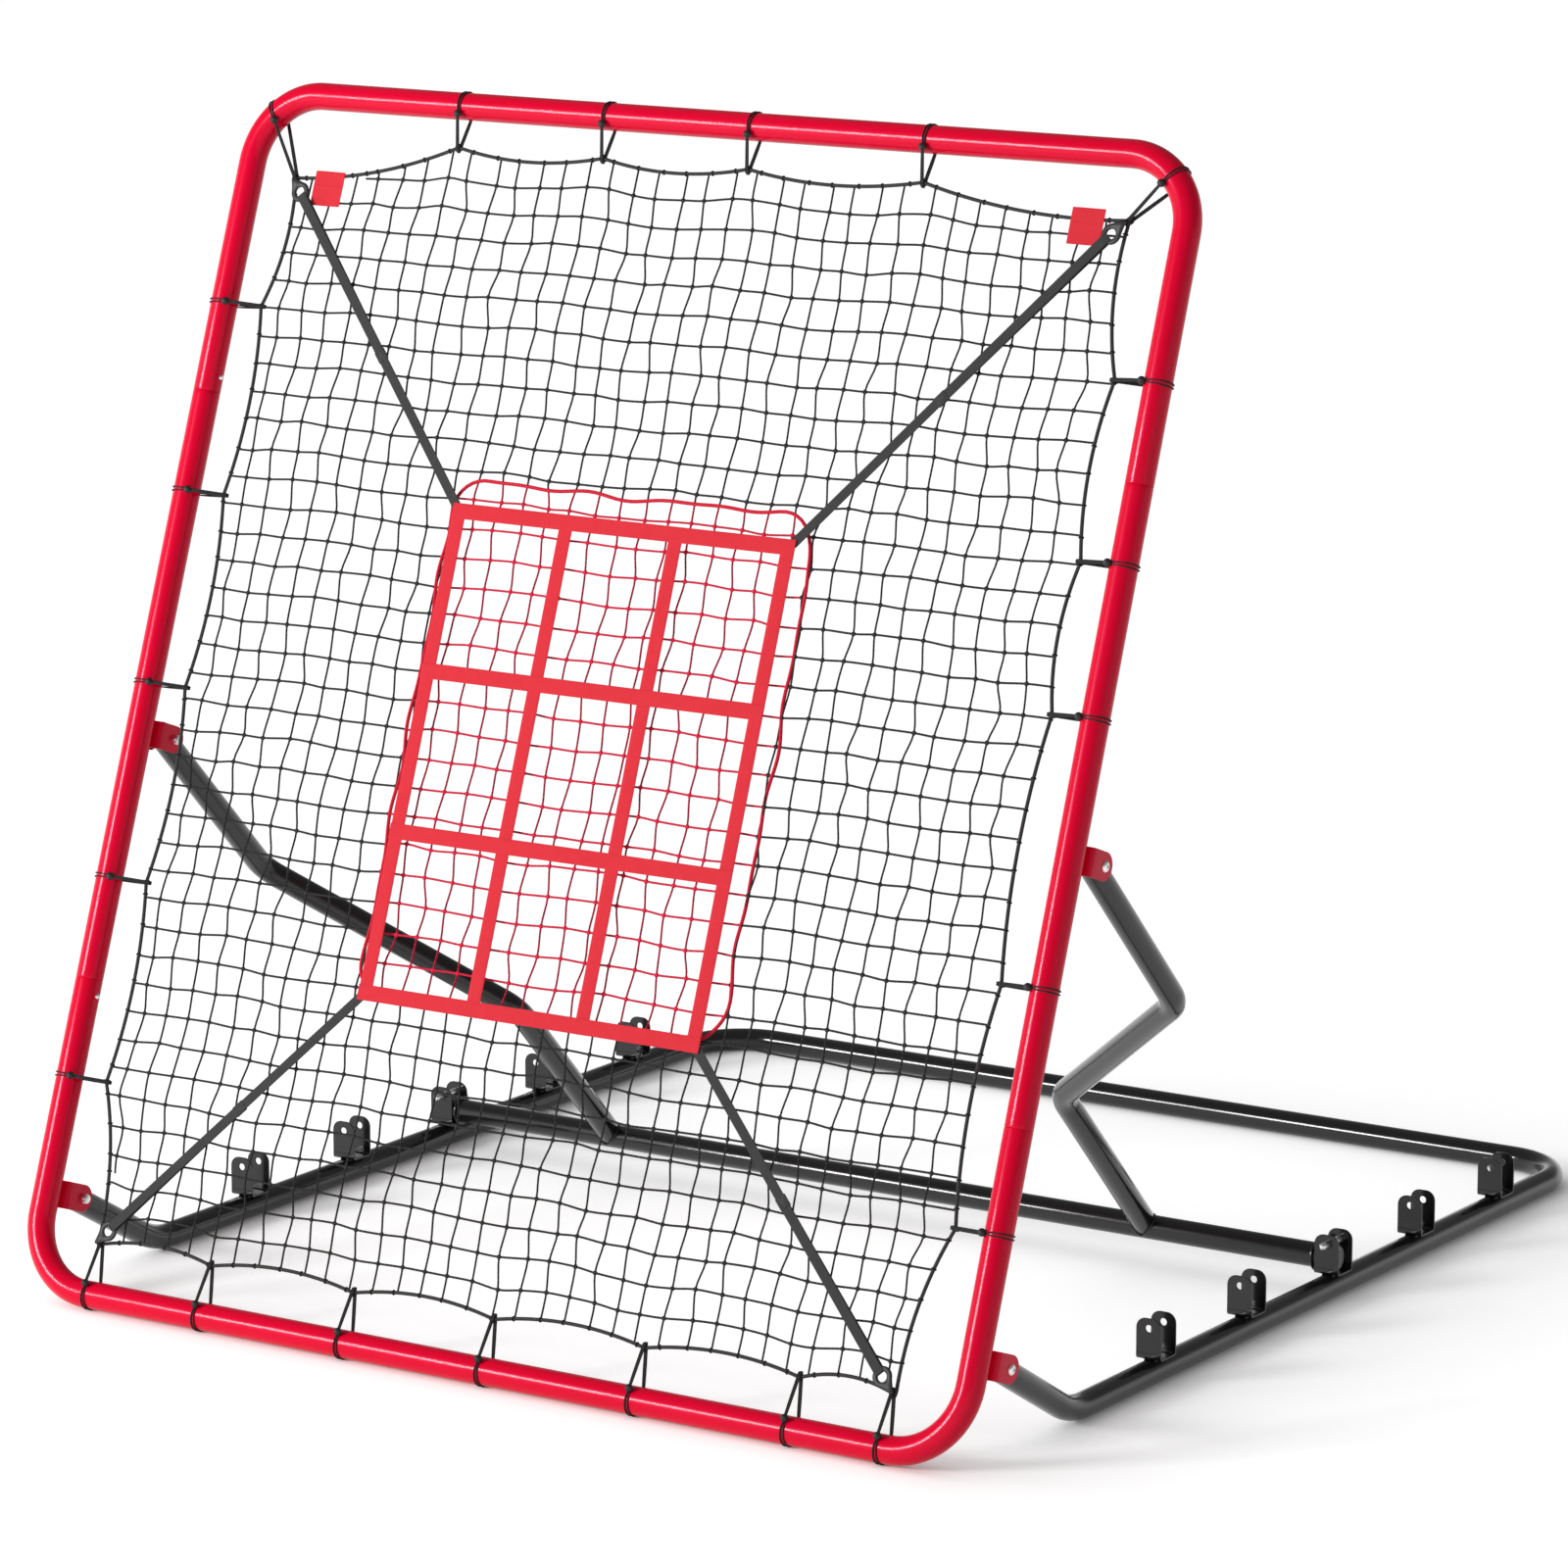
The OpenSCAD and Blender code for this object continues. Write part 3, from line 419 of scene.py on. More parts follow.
def add_tube(surface, path, radius, up, axes=IN_FRAME, sides=32, closed=False, start=0.0):
    """A round tube along a path. Radius is one number, or one for each point."""
    path = np.asarray(path, float)
    radius = np.broadcast_to(np.asarray(radius, float), len(path))
    run = lengths(path)
    if closed:
        run = np.append(run, run[-1] + np.linalg.norm(path[-1] - path[0]))
    around = np.linspace(0, TAU * radius.max(), sides + 1)
    grid = rings(path, circle(1.0, sides), up, scale=radius, closed=closed)
    return surface.add(grid, axes, round_rows=closed, along=run + start, around=around)


def lipped(path, radius, lip, steps=5):
    """A path and its radii with rounded ends: each end grows along a quarter circle of radius lip."""
    path = np.asarray(path, float)
    turn = np.linspace(0, np.pi / 2, steps)[:, None]
    inset = lip * (1 - np.cos(turn))
    grow = (radius - lip * (1 - np.sin(turn)))[:, 0]
    head = path[0] + inset * unit(path[1] - path[0])
    tail = path[-1] + inset * unit(path[-2] - path[-1])
    radii = np.concatenate([grow, np.full(len(path) - 2, radius), grow[::-1]])
    return np.concatenate([head, path[1:-1], tail[::-1]]), radii


def band_section(width, thickness, edge=4):
    """A strap's section: a rectangle whose short sides are half circles."""
    turn = np.linspace(-np.pi / 2, np.pi / 2, edge + 1)
    reach, r = width / 2 - thickness / 2, thickness / 2
    right = np.stack([reach + r * np.cos(turn), r * np.sin(turn)], -1)
    middle = np.linspace(reach, -reach, 6)[1:-1]
    over = np.stack([middle, np.full(4, r)], -1)
    return np.concatenate([right, over, -right, -over])


def add_band(surface, path, width, thickness, up, axes=IN_FRAME):
    """A flat strap along a path; up is the direction of its thickness."""
    section = band_section(width, thickness)
    around = lengths(np.concatenate([section, section[:1]]))
    grid = rings(path, section, up)
    return surface.add(grid, axes, along=lengths(np.asarray(path, float)), around=around)


def add_turned(surface, profile, axes, sides=40, looped=False):
    """A turned part: each (r, z) of the profile becomes a circle of radius r at height z. A profile
    that starts and ends away from the axis is capped flat, and a looped one closes on itself."""
    profile = np.asarray(profile, float)
    run = lengths(np.concatenate([profile, profile[:1]]))
    around = np.linspace(0, TAU * profile[:, 0].max(), sides + 1)
    grid = raised(circle(1.0, sides) * profile[:, None, :1], profile[:, 1])
    return surface.add(grid, axes, round_rows=looped, along=run, around=around)


def add_plate(surface, outline, thickness, axes, edge=0.5, hole=None):
    """A flat plate from -thickness/2 to thickness/2 along z, its edges broken by a small bevel.
    With a hole, each outline point is joined to the hole's point at the same angle."""
    outline = np.asarray(outline, float)
    half, after, ahead = thickness / 2, np.roll(outline, -1, 0), round_way(outline)
    inwards = np.stack([-ahead[:, 1], ahead[:, 0]], -1)
    area = (outline[:, 0] * after[:, 1] - outline[:, 1] * after[:, 0]).sum()
    inner = outline + inwards * edge * np.sign(area)
    flats = [inner, outline, outline, inner]
    heights = [-half, edge - half, half - edge, half]
    if hole is not None:
        bore, wide = hole * unit(outline), (hole + edge) * unit(outline)
        flats = [wide, *flats, wide, bore, bore]
        heights = [-half, *heights, half, half - edge, edge - half]
    return surface.add(raised(np.array(flats), heights), axes, round_rows=hole is not None)


def arc(radius, start, end, steps, centre=(0.0, 0.0)):
    """Points of an arc from one angle to another, in degrees."""
    return polar(radius, np.radians(np.linspace(start, end, steps)), centre)


def smooth_path(points, steps=4):
    """A curve through points: between two of them the cubic of Catmull and Rom, whose slope at a
    point is half the step from the point before to the point after."""
    points = np.asarray(points, float)
    wide = np.concatenate([2 * points[:1] - points[1:2], points, 2 * points[-1:] - points[-2:-1]])
    p0, p1, p2, p3 = (wide[k : len(wide) - 3 + k, None] for k in range(4))
    t = (np.arange(steps) / steps)[None, :, None]
    bend = 2 * p0 - 5 * p1 + 4 * p2 - p3 + t * (3 * p1 - p0 - 3 * p2 + p3)
    curve = p1 + 0.5 * t * (p2 - p0 + t * bend)
    return np.concatenate([curve.reshape(-1, points.shape[1]), points[-1:]])


def evenly(path, step, closed=False):
    """A path's points spread at equal distances of about step."""
    path = np.asarray(path, float)
    if closed:
        path = np.concatenate([path, path[:1]])
    run = lengths(path)
    count = max(3, round(run[-1] / step)) + 1
    at = np.linspace(0, run[-1], count)
    even = np.stack([np.interp(at, run, path[:, k]) for k in range(path.shape[1])], -1)
    return even[:-1] if closed else even


# ---- Shader maths

def joining(operation, swapped=False):
    """A method that adds a Math node of an operation over a socket and its partner, if it has one."""

    def method(self, *partner):
        values = (*partner, self) if swapped else (self, *partner)
        return self.math(operation, *values)

    return method


class Socket:
    """A shader node's output. Arithmetic on it adds Math nodes."""

    def __init__(self, finish, out):
        self.finish, self.out = finish, out

    def math(self, operation, *values, clamp=False):
        """A Math node over some values, held between 0 and 1 where it is clamped."""
        settings = {"operation": operation, "use_clamp": clamp}
        return self.finish.node("Math", settings, dict(enumerate(values)))

    __add__ = __radd__ = joining("ADD")
    __sub__ = joining("SUBTRACT")
    __rsub__ = joining("SUBTRACT", swapped=True)
    __mul__ = __rmul__ = joining("MULTIPLY")
    __truediv__ = joining("DIVIDE")
    __lt__ = joining("LESS_THAN")
    __abs__ = joining("ABSOLUTE")
    sin = joining("SINE")
    fraction = joining("FRACT")
    power = joining("POWER")

    def clamped(self):
        """The value held between 0 and 1."""
        return self.math("ADD", self, 0.0, clamp=True)


class Nodes:
    """A shader's nodes under construction."""

    def __init__(self, owner):
        owner.use_nodes = True
        self.tree = owner.node_tree
        self.tree.nodes.clear()

    def node(self, kind, settings=None, inputs=None, out=0):
        """Adds a node by its kind, without the kind's prefix: settings first, then values or links."""
        made = self.tree.nodes.new("ShaderNode" + kind)
        for name, value in (settings or {}).items():
            setattr(made, name, value)
        for name, value in (inputs or {}).items():
            if isinstance(value, Socket):
                self.tree.links.new(value.out, made.inputs[name])
            else:
                made.inputs[name].default_value = value
        return Socket(self, made.outputs[out] if made.outputs else None)


class Finish(Nodes):
    """A material under construction."""

    def __init__(self, name):
        self.material = bpy.data.materials.new(name)
        super().__init__(self.material)

    def place(self):
        """The place on the piece, in metres."""
        return self.node("TexCoord", out="Object")

    def along_around(self):
        """The two lengths of the piece's own map, in metres."""
        split = {"Vector": self.node("UVMap", {"uv_map": "along_around"})}
        return [self.node("SeparateXYZ", None, split, out) for out in ("X", "Y")]

    def noise(self, scale, detail=2.0, vector=None):
        """Noise at a place, with so many features in a metre."""
        inputs = {"Vector": vector or self.place(), "Scale": scale, "Detail": detail}
        return self.node("TexNoise", None, inputs)

    def mix(self, a, b, factor):
        """Colour a where the factor is 0 and b where it is 1."""
        a, b = ((*c, 1.0) if isinstance(c, tuple) else c for c in (a, b))
        return self.node("Mix", {"data_type": "RGBA"}, {0: factor, 6: a, 7: b}, out=2)

    def bump(self, height, distance, strength):
        """A normal tilted by a height of so many metres."""
        return self.node("Bump", None, {"Height": height, "Distance": distance, "Strength": strength})

    def done(self, **sockets):
        """Joins the surface shader. Names of sockets have their spaces written as underscores."""
        inputs = {}
        for name, value in sockets.items():
            inputs[name.replace("_", " ")] = (*value, 1.0) if isinstance(value, tuple) else value
        surface = self.node("BsdfPrincipled", None, inputs)
        self.node("OutputMaterial", None, {"Surface": surface})
        return self.material


def powder_coat(name, dark, light, coat, sheen=(1.0, 1.0, 1.0)):
    """Powder coat: a fine orange peel and a slight cloudiness in colour and roughness."""
    m = Finish(name)
    cloud = m.noise(7.0, 3.0)
    peel = m.noise(520.0)
    return m.done(
        Base_Color=m.mix(dark, light, cloud),
        Roughness=0.3 + 0.1 * (cloud - 0.5) + 0.04 * (peel - 0.5),
        Specular_IOR_Level=0.12,
        Specular_Tint=sheen,
        Coat_Weight=coat,
        Coat_Roughness=0.11,
        Normal=m.bump(peel, 0.00001, 0.08),
    )


def zinc_plate():
    """Bright zinc: drawn marks, with a faint yellow and blue bloom."""
    m = Finish("zinc_plate")
    bloom = m.noise(60.0, 3.0)
    mark = m.noise(900.0)
    return m.done(
        Base_Color=m.mix((0.78, 0.79, 0.82), (0.86, 0.85, 0.8), bloom),
        Metallic=1.0,
        Roughness=0.3 + 0.16 * mark,
        Normal=m.bump(mark, 0.00003, 0.4),
    )


def moulded(name, dark, light, roughness):
    """Moulded plastic with a spark-eroded grain."""
    m = Finish(name)
    grain = m.noise(1600.0)
    cloud = m.noise(40.0)
    return m.done(
        Base_Color=m.mix(dark, light, cloud),
        Roughness=roughness + 0.12 * (grain - 0.5),
        Specular_IOR_Level=0.4,
        Normal=m.bump(grain, 0.00004, 0.5),
    )


def webbing(name, dark, light, rib, stitch_colour, width):
    """Woven webbing: ribs across it in a herringbone whose slope turns over at each wale, and a row of
    lock stitches near each long edge. The ribs carry painted light and shade, lighter on their crowns
    and darker in their grooves, over a random tone."""
    m = Finish(name)
    along, around = m.along_around()
    zig = abs((around / WALE).fraction() - 0.5)
    height = 0.5 + 0.5 * ((along / rib + zig * 1.6) * TAU).sin()
    worn = m.noise(45.0, 3.0)
    # painted light and shade: the rib crowns lighter and the grooves darker, mixed with a random tone
    colour = m.mix(dark, light, 0.45 * height + 0.55 * worn)
    near = abs(around - STITCH_EDGE) < STITCH_HALF
    far = abs(around - (width * MM - STITCH_EDGE)) < STITCH_HALF
    dash = (along / STITCH_PITCH).fraction() < 0.66
    return m.done(
        Base_Color=m.mix(colour, stitch_colour, (near + far) * dash),
        Roughness=0.82 - 0.12 * height,
        Specular_IOR_Level=0.25,
        Sheen_Weight=0.12,
        Normal=m.bump(height, 0.00018, 0.5),
    )


def laid_cord(name, dark, light, lay, strands, fleck=None, share=0.0):
    """Twisted or braided cord: stripes that turn round it once a lay, painted lighter on the strands'
    crowns and darker in the grooves between them as painted light and shade, and for a two-coloured yarn
    flecks where a noise stretched along the cord passes a level."""
    m = Finish(name)
    along, around = m.along_around()
    height = 0.5 + 0.5 * ((along / lay + around / 0.0062 * strands) * TAU).sin()
    # painted light and shade: strand crowns lighter, the grooves between strands darker
    colour = m.mix(dark, light, height)
    if fleck:
        spot = m.node("CombineXYZ", None, {"X": along * 260.0, "Y": around * 420.0})
        colour = m.mix(colour, fleck, (m.noise(1.0, vector=spot) < share) * 0.85)
    return m.done(
        Base_Color=colour,
        Roughness=0.78 - 0.1 * height,
        Specular_IOR_Level=0.3,
        Normal=m.bump(height, 0.0002, 0.5),
    )


RED_COAT = powder_coat(
    "red_powder_coat", (0.82, 0.0, 0.026), (0.9, 0.0, 0.038), 0.2, (1.0, 0.4, 0.8)
)
BLACK_COAT = powder_coat("black_powder_coat", (0.007, 0.007, 0.0075), (0.012, 0.012, 0.0125), 0.85)
ZINC = zinc_plate()
BLACK_PLASTIC = moulded("black_plastic", (0.016, 0.016, 0.017), (0.028, 0.028, 0.03), 0.5)
HOOK_PLASTIC = moulded("dark_grey_plastic", (0.018, 0.019, 0.02), (0.028, 0.029, 0.031), 0.48)
GREY_PLASTIC = moulded("grey_plastic", (0.2, 0.21, 0.22), (0.28, 0.29, 0.3), 0.5)
NYLON = moulded("natural_nylon", (0.68, 0.68, 0.64), (0.78, 0.78, 0.75), 0.45)
RED_WEBBING = webbing(
    "red_webbing", (0.74, 0.018, 0.034), (0.86, 0.032, 0.052), 0.0016, (0.6, 0.012, 0.026), WEBBING_W
)
STRAP_WEBBING = webbing(
    "dark_strap", (0.032, 0.032, 0.033), (0.058, 0.058, 0.06), 0.0014, (0.015, 0.015, 0.016), STRAP_W
)
NET_TWINE = laid_cord("net_twine", (0.006, 0.006, 0.006), (0.022, 0.022, 0.022), 0.006, 1)
RED_TWINE = laid_cord(
    "red_twine", (0.66, 0.002, 0.04), (0.82, 0.008, 0.06), 0.006, 1, (0.12, 0.004, 0.012), 0.36
)
DARK_RED_TWINE = laid_cord(
    "dark_red_twine", (0.42, 0.002, 0.03), (0.6, 0.004, 0.045), 0.006, 1, (0.08, 0.004, 0.01), 0.42
)
EDGE_BRAID = laid_cord("edge_braid", (0.022, 0.022, 0.023), (0.06, 0.06, 0.062), 0.009, 2)
BORDER_BRAID = laid_cord("red_braid", (0.64, 0.003, 0.026), (0.84, 0.012, 0.048), 0.008, 2)
ELASTIC = laid_cord("elastic_braid", (0.012, 0.012, 0.012), (0.035, 0.035, 0.036), 0.004, 2)


# ---- Pieces

def piece(name, surface, material, body, slot, *nodes, sharp=math.radians(38)):
    """Makes a surface a piece of the object: finish, body and the nodes it stands for. The slot is not
    used.
    """
    made = bpy.data.objects.new(name, surface.mesh(name, sharp))
    bpy.context.scene.collection.objects.link(made)
    made.data.materials.append(material)
    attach(made, body)
    if nodes:
        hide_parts(*nodes)
    return made


# The frame's tubes

def pipe(path, radius, lip, up=Y, axes=IN_FRAME):
    """A tube of the frame, base or stand, its mouths rounded by a lip."""
    path, radii = lipped(path, radius, lip)
    return add_tube(Surface(), path, radii, up, axes, sides=TUBE_SIDES)


def make_frame_tubes():
    """Two bent tubes, above and below, and two side tubes whose spigots show at the seams."""
    for name, seam, end in (("top", UPPER_SEAM, FRAME_H), ("bottom", LOWER_SEAM, 0.0)):
        corners = [(-HALF_W, 0, seam), (-HALF_W, 0, end), (HALF_W, 0, end), (HALF_W, 0, seam)]
        tube = pipe(rounded(corners, [FRAME_CORNER] * 2, 24), FRAME_R, 0.9)
        piece(f"{name}_tube", tube, RED_COAT, "frame", "red_paint", f"frame_{name}_tube")
    heights = (LOWER_SEAM, LOWER_SEAM + SEAM_STEP, UPPER_SEAM - SEAM_STEP, UPPER_SEAM)
    for name, side in SIDES.items():
        x = side * HALF_W
        tube = pipe([(x, 0, s) for s in heights], FRAME_R, 1.4)
        spigots = [(x, 0, LOWER_SEAM - SPIGOT_SHOWN), (x, 0, UPPER_SEAM + SPIGOT_SHOWN)]
        add_tube(tube, spigots, FRAME_R - SPIGOT_INSET, Y, sides=TUBE_SIDES)
        piece(f"{name}_side_tube", tube, RED_COAT, "frame", "red_paint", f"frame_{name}_tube")


def make_base():
    """One bent tube: from each pivot it falls at the rise's angle, then runs back along the floor."""
    rise = (LOW_PIVOT[1] - BLACK_R) / math.tan(RISE_ANGLE)
    nose = PIVOT_NOSE * math.cos(RISE_ANGLE), PIVOT_NOSE * math.sin(RISE_ANGLE)
    run = [
        (LOW_PIVOT[0] - nose[0], LOW_PIVOT[1] + nose[1]),
        (LOW_PIVOT[0] + rise, BLACK_R),
        (BASE_L, BLACK_R),
    ]
    corners = [(-HALF_W, *p) for p in run] + [(HALF_W, *p) for p in run[::-1]]
    bends = [RISE_BEND, BASE_CORNER, BASE_CORNER, RISE_BEND]
    tube = pipe(rounded(corners, bends, 20), BLACK_R, BLACK_LIP, Z, GROUND)
    piece("base_rail", tube, BLACK_COAT, "base", "black_paint", "base_tube")


def end_plug(surface, axes):
    """A plug's domed lip on the mouth of a black tube; z of the axes points out of the tube."""
    r = BLACK_R - 0.2
    dome = arc(1.0, 0, 80, 6)
    profile = [(r - 1.5, -3.0), (r - 1.5, 0.0), (r - 0.4, 0.0)]
    profile += [(r - 1.6 + 1.6 * c, 0.3 + PLUG_LIP * s) for c, s in dome]
    profile += [(r - 5, PLUG_LIP + 0.3), (r - 6, PLUG_LIP - 0.1), (1.0, PLUG_LIP - 0.1)]
    return add_turned(surface, profile, axes)


def make_plugs():
    """A plug in each open end of the base, the legs and the crossbar."""
    base, legs, bar = Surface(), Surface(), Surface()
    for side in SIDES.values():
        end_plug(base, base_end(side).at((0, 0, -PIVOT_NOSE), y=-Y, z=-Z))
        end_plug(legs, IN_STAND.at((side * HALF_W, 0, -PIVOT_NOSE), y=-Y, z=-Z))
        end_plug(bar, IN_STAND.at((side * BAR_HALF, 0, STAND_L), x=side * Y, y=Z, z=side * X))
    piece("base_plugs", base, BLACK_PLASTIC, "base", "black_plastic", "base_end_plugs")
    piece("leg_end_plugs", legs, BLACK_PLASTIC, "stand", "black_plastic", "leg_plugs")
    piece("bar_end_plugs", bar, GREY_PLASTIC, "stand", "grey_plastic", "crossbar_plugs")


# Rest clevises

def ear_outline(half, top, foot, r, steps=9):
    """An ear round its hole: a flat foot, straight sides and a top with corners of radius r."""
    right = arc(r, 0, 90, steps, (half - r, top - r))
    left = arc(r, 90, 180, steps, (r - half, top - r))
    side = np.linspace(foot, top - r, 5)[:-1]
    rise = np.stack([np.full(4, half), side], -1)
    across = np.stack([np.linspace(-half, half, 6)[1:-1], np.full(4, foot)], -1)
    return np.concatenate([rise, right, left, rise[::-1] * (-1, 1), across])


def sheet_u(surface, half, low, high, width, thickness, bend, axes):
    """A strip of sheet bent to a U in the plane of y and z, with its web at z = low."""
    mid = half - thickness / 2
    floor = low + thickness / 2
    corners = [(0, -mid, high), (0, -mid, floor), (0, mid, floor), (0, mid, high)]
    path = rounded(corners, [bend - thickness / 2] * 2, 9)
    edge, x, y = 0.4, width / 2, thickness / 2
    section = [
        (-y, x - edge), (edge - y, x), (y - edge, x), (y, x - edge),
        (y, edge - x), (y - edge, -x), (edge - y, -x), (-y, edge - x),
    ]
    return surface.add(rings(path, section, X), axes)


def weld_bead(surface, path, radius, up, axes):
    """A weld: a tube whose radius swells once every 2.6 mm, as its ripples do."""
    path = evenly(path, 0.65)
    run = lengths(path)
    swell = 1 + 0.13 * np.sin(run * TAU / 2.6)
    taper = np.clip(np.minimum(run, run[-1] - run) / radius, 0.25, 1) ** 0.5
    return add_tube(surface, path, radius * swell * taper, up, axes, sides=10)


def u_bracket(axes, half, seat, hole_z, width, thickness, bend, top, hole):
    """A sheet U on a tube that it touches at z = seat, with an ear round its hole at each side."""
    made = Surface()
    foot = seat + bend + EAR_FOOT
    sheet_u(made, half, seat + WELD_SEAT, foot, width, thickness, bend, axes)
    outline = ear_outline(width / 2, top, foot - hole_z, top)
    for side in (-1, 1):
        ear = axes.at((0, side * (half - thickness / 2), hole_z), y=Z, z=-Y)
        add_plate(made, outline, thickness, ear, hole=hole)
    return made


def make_clevises():
    """Five rest clevises along each rail, each with a weld along both sides of its floor."""
    size = (CLEVIS_HALF, BLACK_D, PIN_Z, CLEVIS_W, CLEVIS_T, CLEVIS_BEND, EAR_TOP)
    for side_name, side in SIDES.items():
        for number in range(5):
            axes = GROUND.at((side * HALF_W, CLEVIS_FIRST + number * CLEVIS_PITCH, 0))
            made = u_bracket(axes, *size, PIN_D / 2 + 0.08)
            for x in (-CLEVIS_WELD, CLEVIS_WELD):
                height = BLACK_R + math.sqrt(BLACK_R**2 - x**2) + 0.4
                ends = [(x, y, height) for y in (WELD_END - CLEVIS_HALF, CLEVIS_HALF - WELD_END)]
                weld_bead(made, ends, 1.5, Z, axes)
            name = f"{side_name}_{number + 1}"
            piece(f"rest_clevis_{name}", made, BLACK_COAT, "base", "black_paint", f"clevis_{name}")


# Pivot brackets and their hardware

def make_brackets():
    """Four pivot brackets behind the side tubes, each with a weld along both sides."""
    half = BRACKET_H / 2
    size = (CHEEK_OUT, FRAME_R, PIVOT_N, BRACKET_H, BRACKET_T, BRACKET_BEND, half)
    depth = math.sqrt(FRAME_R**2 - BRACKET_WELD**2) + 0.6
    for level, s in PIVOTS.items():
        for side_name, side in SIDES.items():
            axes = IN_FRAME.at((side * HALF_W, 0, s), x=Z, y=X, z=Y)
            made = u_bracket(axes, *size, BOLT_D / 2 + 0.1)
            for y in (-BRACKET_WELD, BRACKET_WELD):
                ends = [(x, y, depth) for x in (WELD_END - half, half - WELD_END)]
                weld_bead(made, ends, 1.7, Z, axes)
            name = f"{level}_bracket_{side_name}"
            piece(f"{name}_plate", made, RED_COAT, "frame", "red_paint", name)


def hexagon(across_flats, sides):
    """The distance from the centre of a hexagon to its edge, at equal angles."""
    return across_flats / 2 / np.cos((turns(sides) + np.pi / 6) % (np.pi / 3) - np.pi / 6)


def add_bolt(surface, axes):
    """A button-head bolt: a domed head with a hexagon socket, on a shank with a turned thread."""
    ring = circle(1.0, BOLT_SIDES)
    r, h = BOLT_HEAD_D / 2, BOLT_HEAD_H
    dome = [(r, 0.0), (r, 0.4)]
    dome += [(r * c, 0.4 + (h - 0.4) * s) for c, s in polar(1.0, np.linspace(0.25, 1.08, 6))]
    socket = hexagon(5.0, BOLT_SIDES)[:, None] * ring
    flats = [ring * radius for radius, _ in dome] + [socket] * 3
    heights = [z for _, z in dome] + [h - 0.15, h - 0.5, h * 0.45]
    surface.add(raised(np.array(flats), heights), axes)
    r, length = BOLT_D / 2, 2 * CHEEK_OUT + NUT_H + 1
    profile = [(r - 0.9, -length)]
    for z in np.arange(0, 14, 0.625):
        profile += [(r - 0.55, z - length + 0.6), (r, z - length + 0.9)]
    profile += [(r, 15 - length), (r, 0.1)]
    return add_turned(surface, profile, axes, sides=24)


def add_nut(surface, axes):
    """A lock nut: a hexagon whose corners are chamfered, and the round collar of its nylon ring."""
    flats = hexagon(NUT_AF, BOLT_SIDES)
    body, bore = NUT_H * 0.72, BOLT_D * 0.51
    rows = [
        (np.minimum(flats, NUT_AF * 0.5), 0.0), (np.minimum(flats, NUT_AF * 0.56), 0.8),
        (flats, 1.1), (flats, body - 1.2), (np.minimum(flats, NUT_AF * 0.5), body),
        (NUT_AF * 0.46, body), (NUT_AF * 0.46, NUT_H - 0.8), (NUT_AF * 0.4, NUT_H),
        (bore, NUT_H), (bore, 0.0),
    ]
    radii = np.array([np.broadcast_to(r, BOLT_SIDES) for r, _ in rows])
    grid = raised(circle(1.0, BOLT_SIDES) * radii[..., None], [z for _, z in rows])
    return surface.add(grid, axes, round_rows=True)


def make_pivot_hardware():
    """A bolt and a nut at each pivot, and a washer at each side of the black tube's end."""
    washers = Surface()
    r, hole, half = WASHER_D / 2, (BOLT_D + 1) / 2, WASHER_T / 2
    profile = [(hole, -half), (r - 0.3, -half), (r, 0.3 - half)]
    profile += [(r, half - 0.3), (r - 0.3, half), (hole, half)]
    for level, s in PIVOTS.items():
        bolts, nuts = Surface(), Surface()
        for side in SIDES.values():
            axes = IN_FRAME.at((side * HALF_W, PIVOT_N, s), x=Z, y=side * Y, z=side * X)
            add_bolt(bolts, axes.at((0, 0, CHEEK_OUT)))
            add_nut(nuts, axes.at((0, 0, -CHEEK_OUT), y=-Y, z=-Z))
            for face in (-1, 1):
                x = side * HALF_W + face * (FRAME_R - half)
                seat = IN_FRAME.at((x, PIVOT_N, s), x=Z, z=-X)
                add_turned(washers, profile, seat, looped=True)
        piece(f"{level}_pivot_bolts", bolts, ZINC, "frame", "zinc", f"{level}_bolts")
        piece(f"{level}_pivot_nuts", nuts, ZINC, "frame", "zinc", f"{level}_nuts")
    piece("nylon_washers", washers, NYLON, "frame", "nylon", "pivot_washers")


def make_snap_buttons():
    """Each button: a domed pin on its leaf, which lies inside the spigot."""
    bore = FRAME_R - 3.1
    leaf_x = math.sqrt(bore**2 - 25) - 1.1
    r, top = BUTTON_D / 2, FRAME_R + BUTTON_OUT
    profile = [(r, leaf_x + LEAF_T)]
    profile += [(r * c, top - r * 0.8 * (1 - s)) for c, s in polar(1.0, np.linspace(0, 1.45, 9))]
    for level, s, up in (("upper", UPPER_SEAM + BUTTON_OFF, 1), ("lower", LOWER_SEAM - BUTTON_OFF, -1)):
        leaf = [(0, y, leaf_x + LEAF_T / 2) for y in (-up * LEAF_LONG, up * LEAF_SHORT)]
        for side_name, side in SIDES.items():
            axes = IN_FRAME.at((side * HALF_W, 0, s), x=Y, y=Z, z=-side * X)
            made = add_turned(Surface(), profile, axes, sides=24)
            add_band(made, leaf, LEAF_W, LEAF_T, Z, axes)
            name = f"{level}_{side_name}"
            piece(
                f"snap_button_{name}_pin", made, ZINC, f"button_{name}", "zinc", f"snap_button_{name}"
            )


# Stand

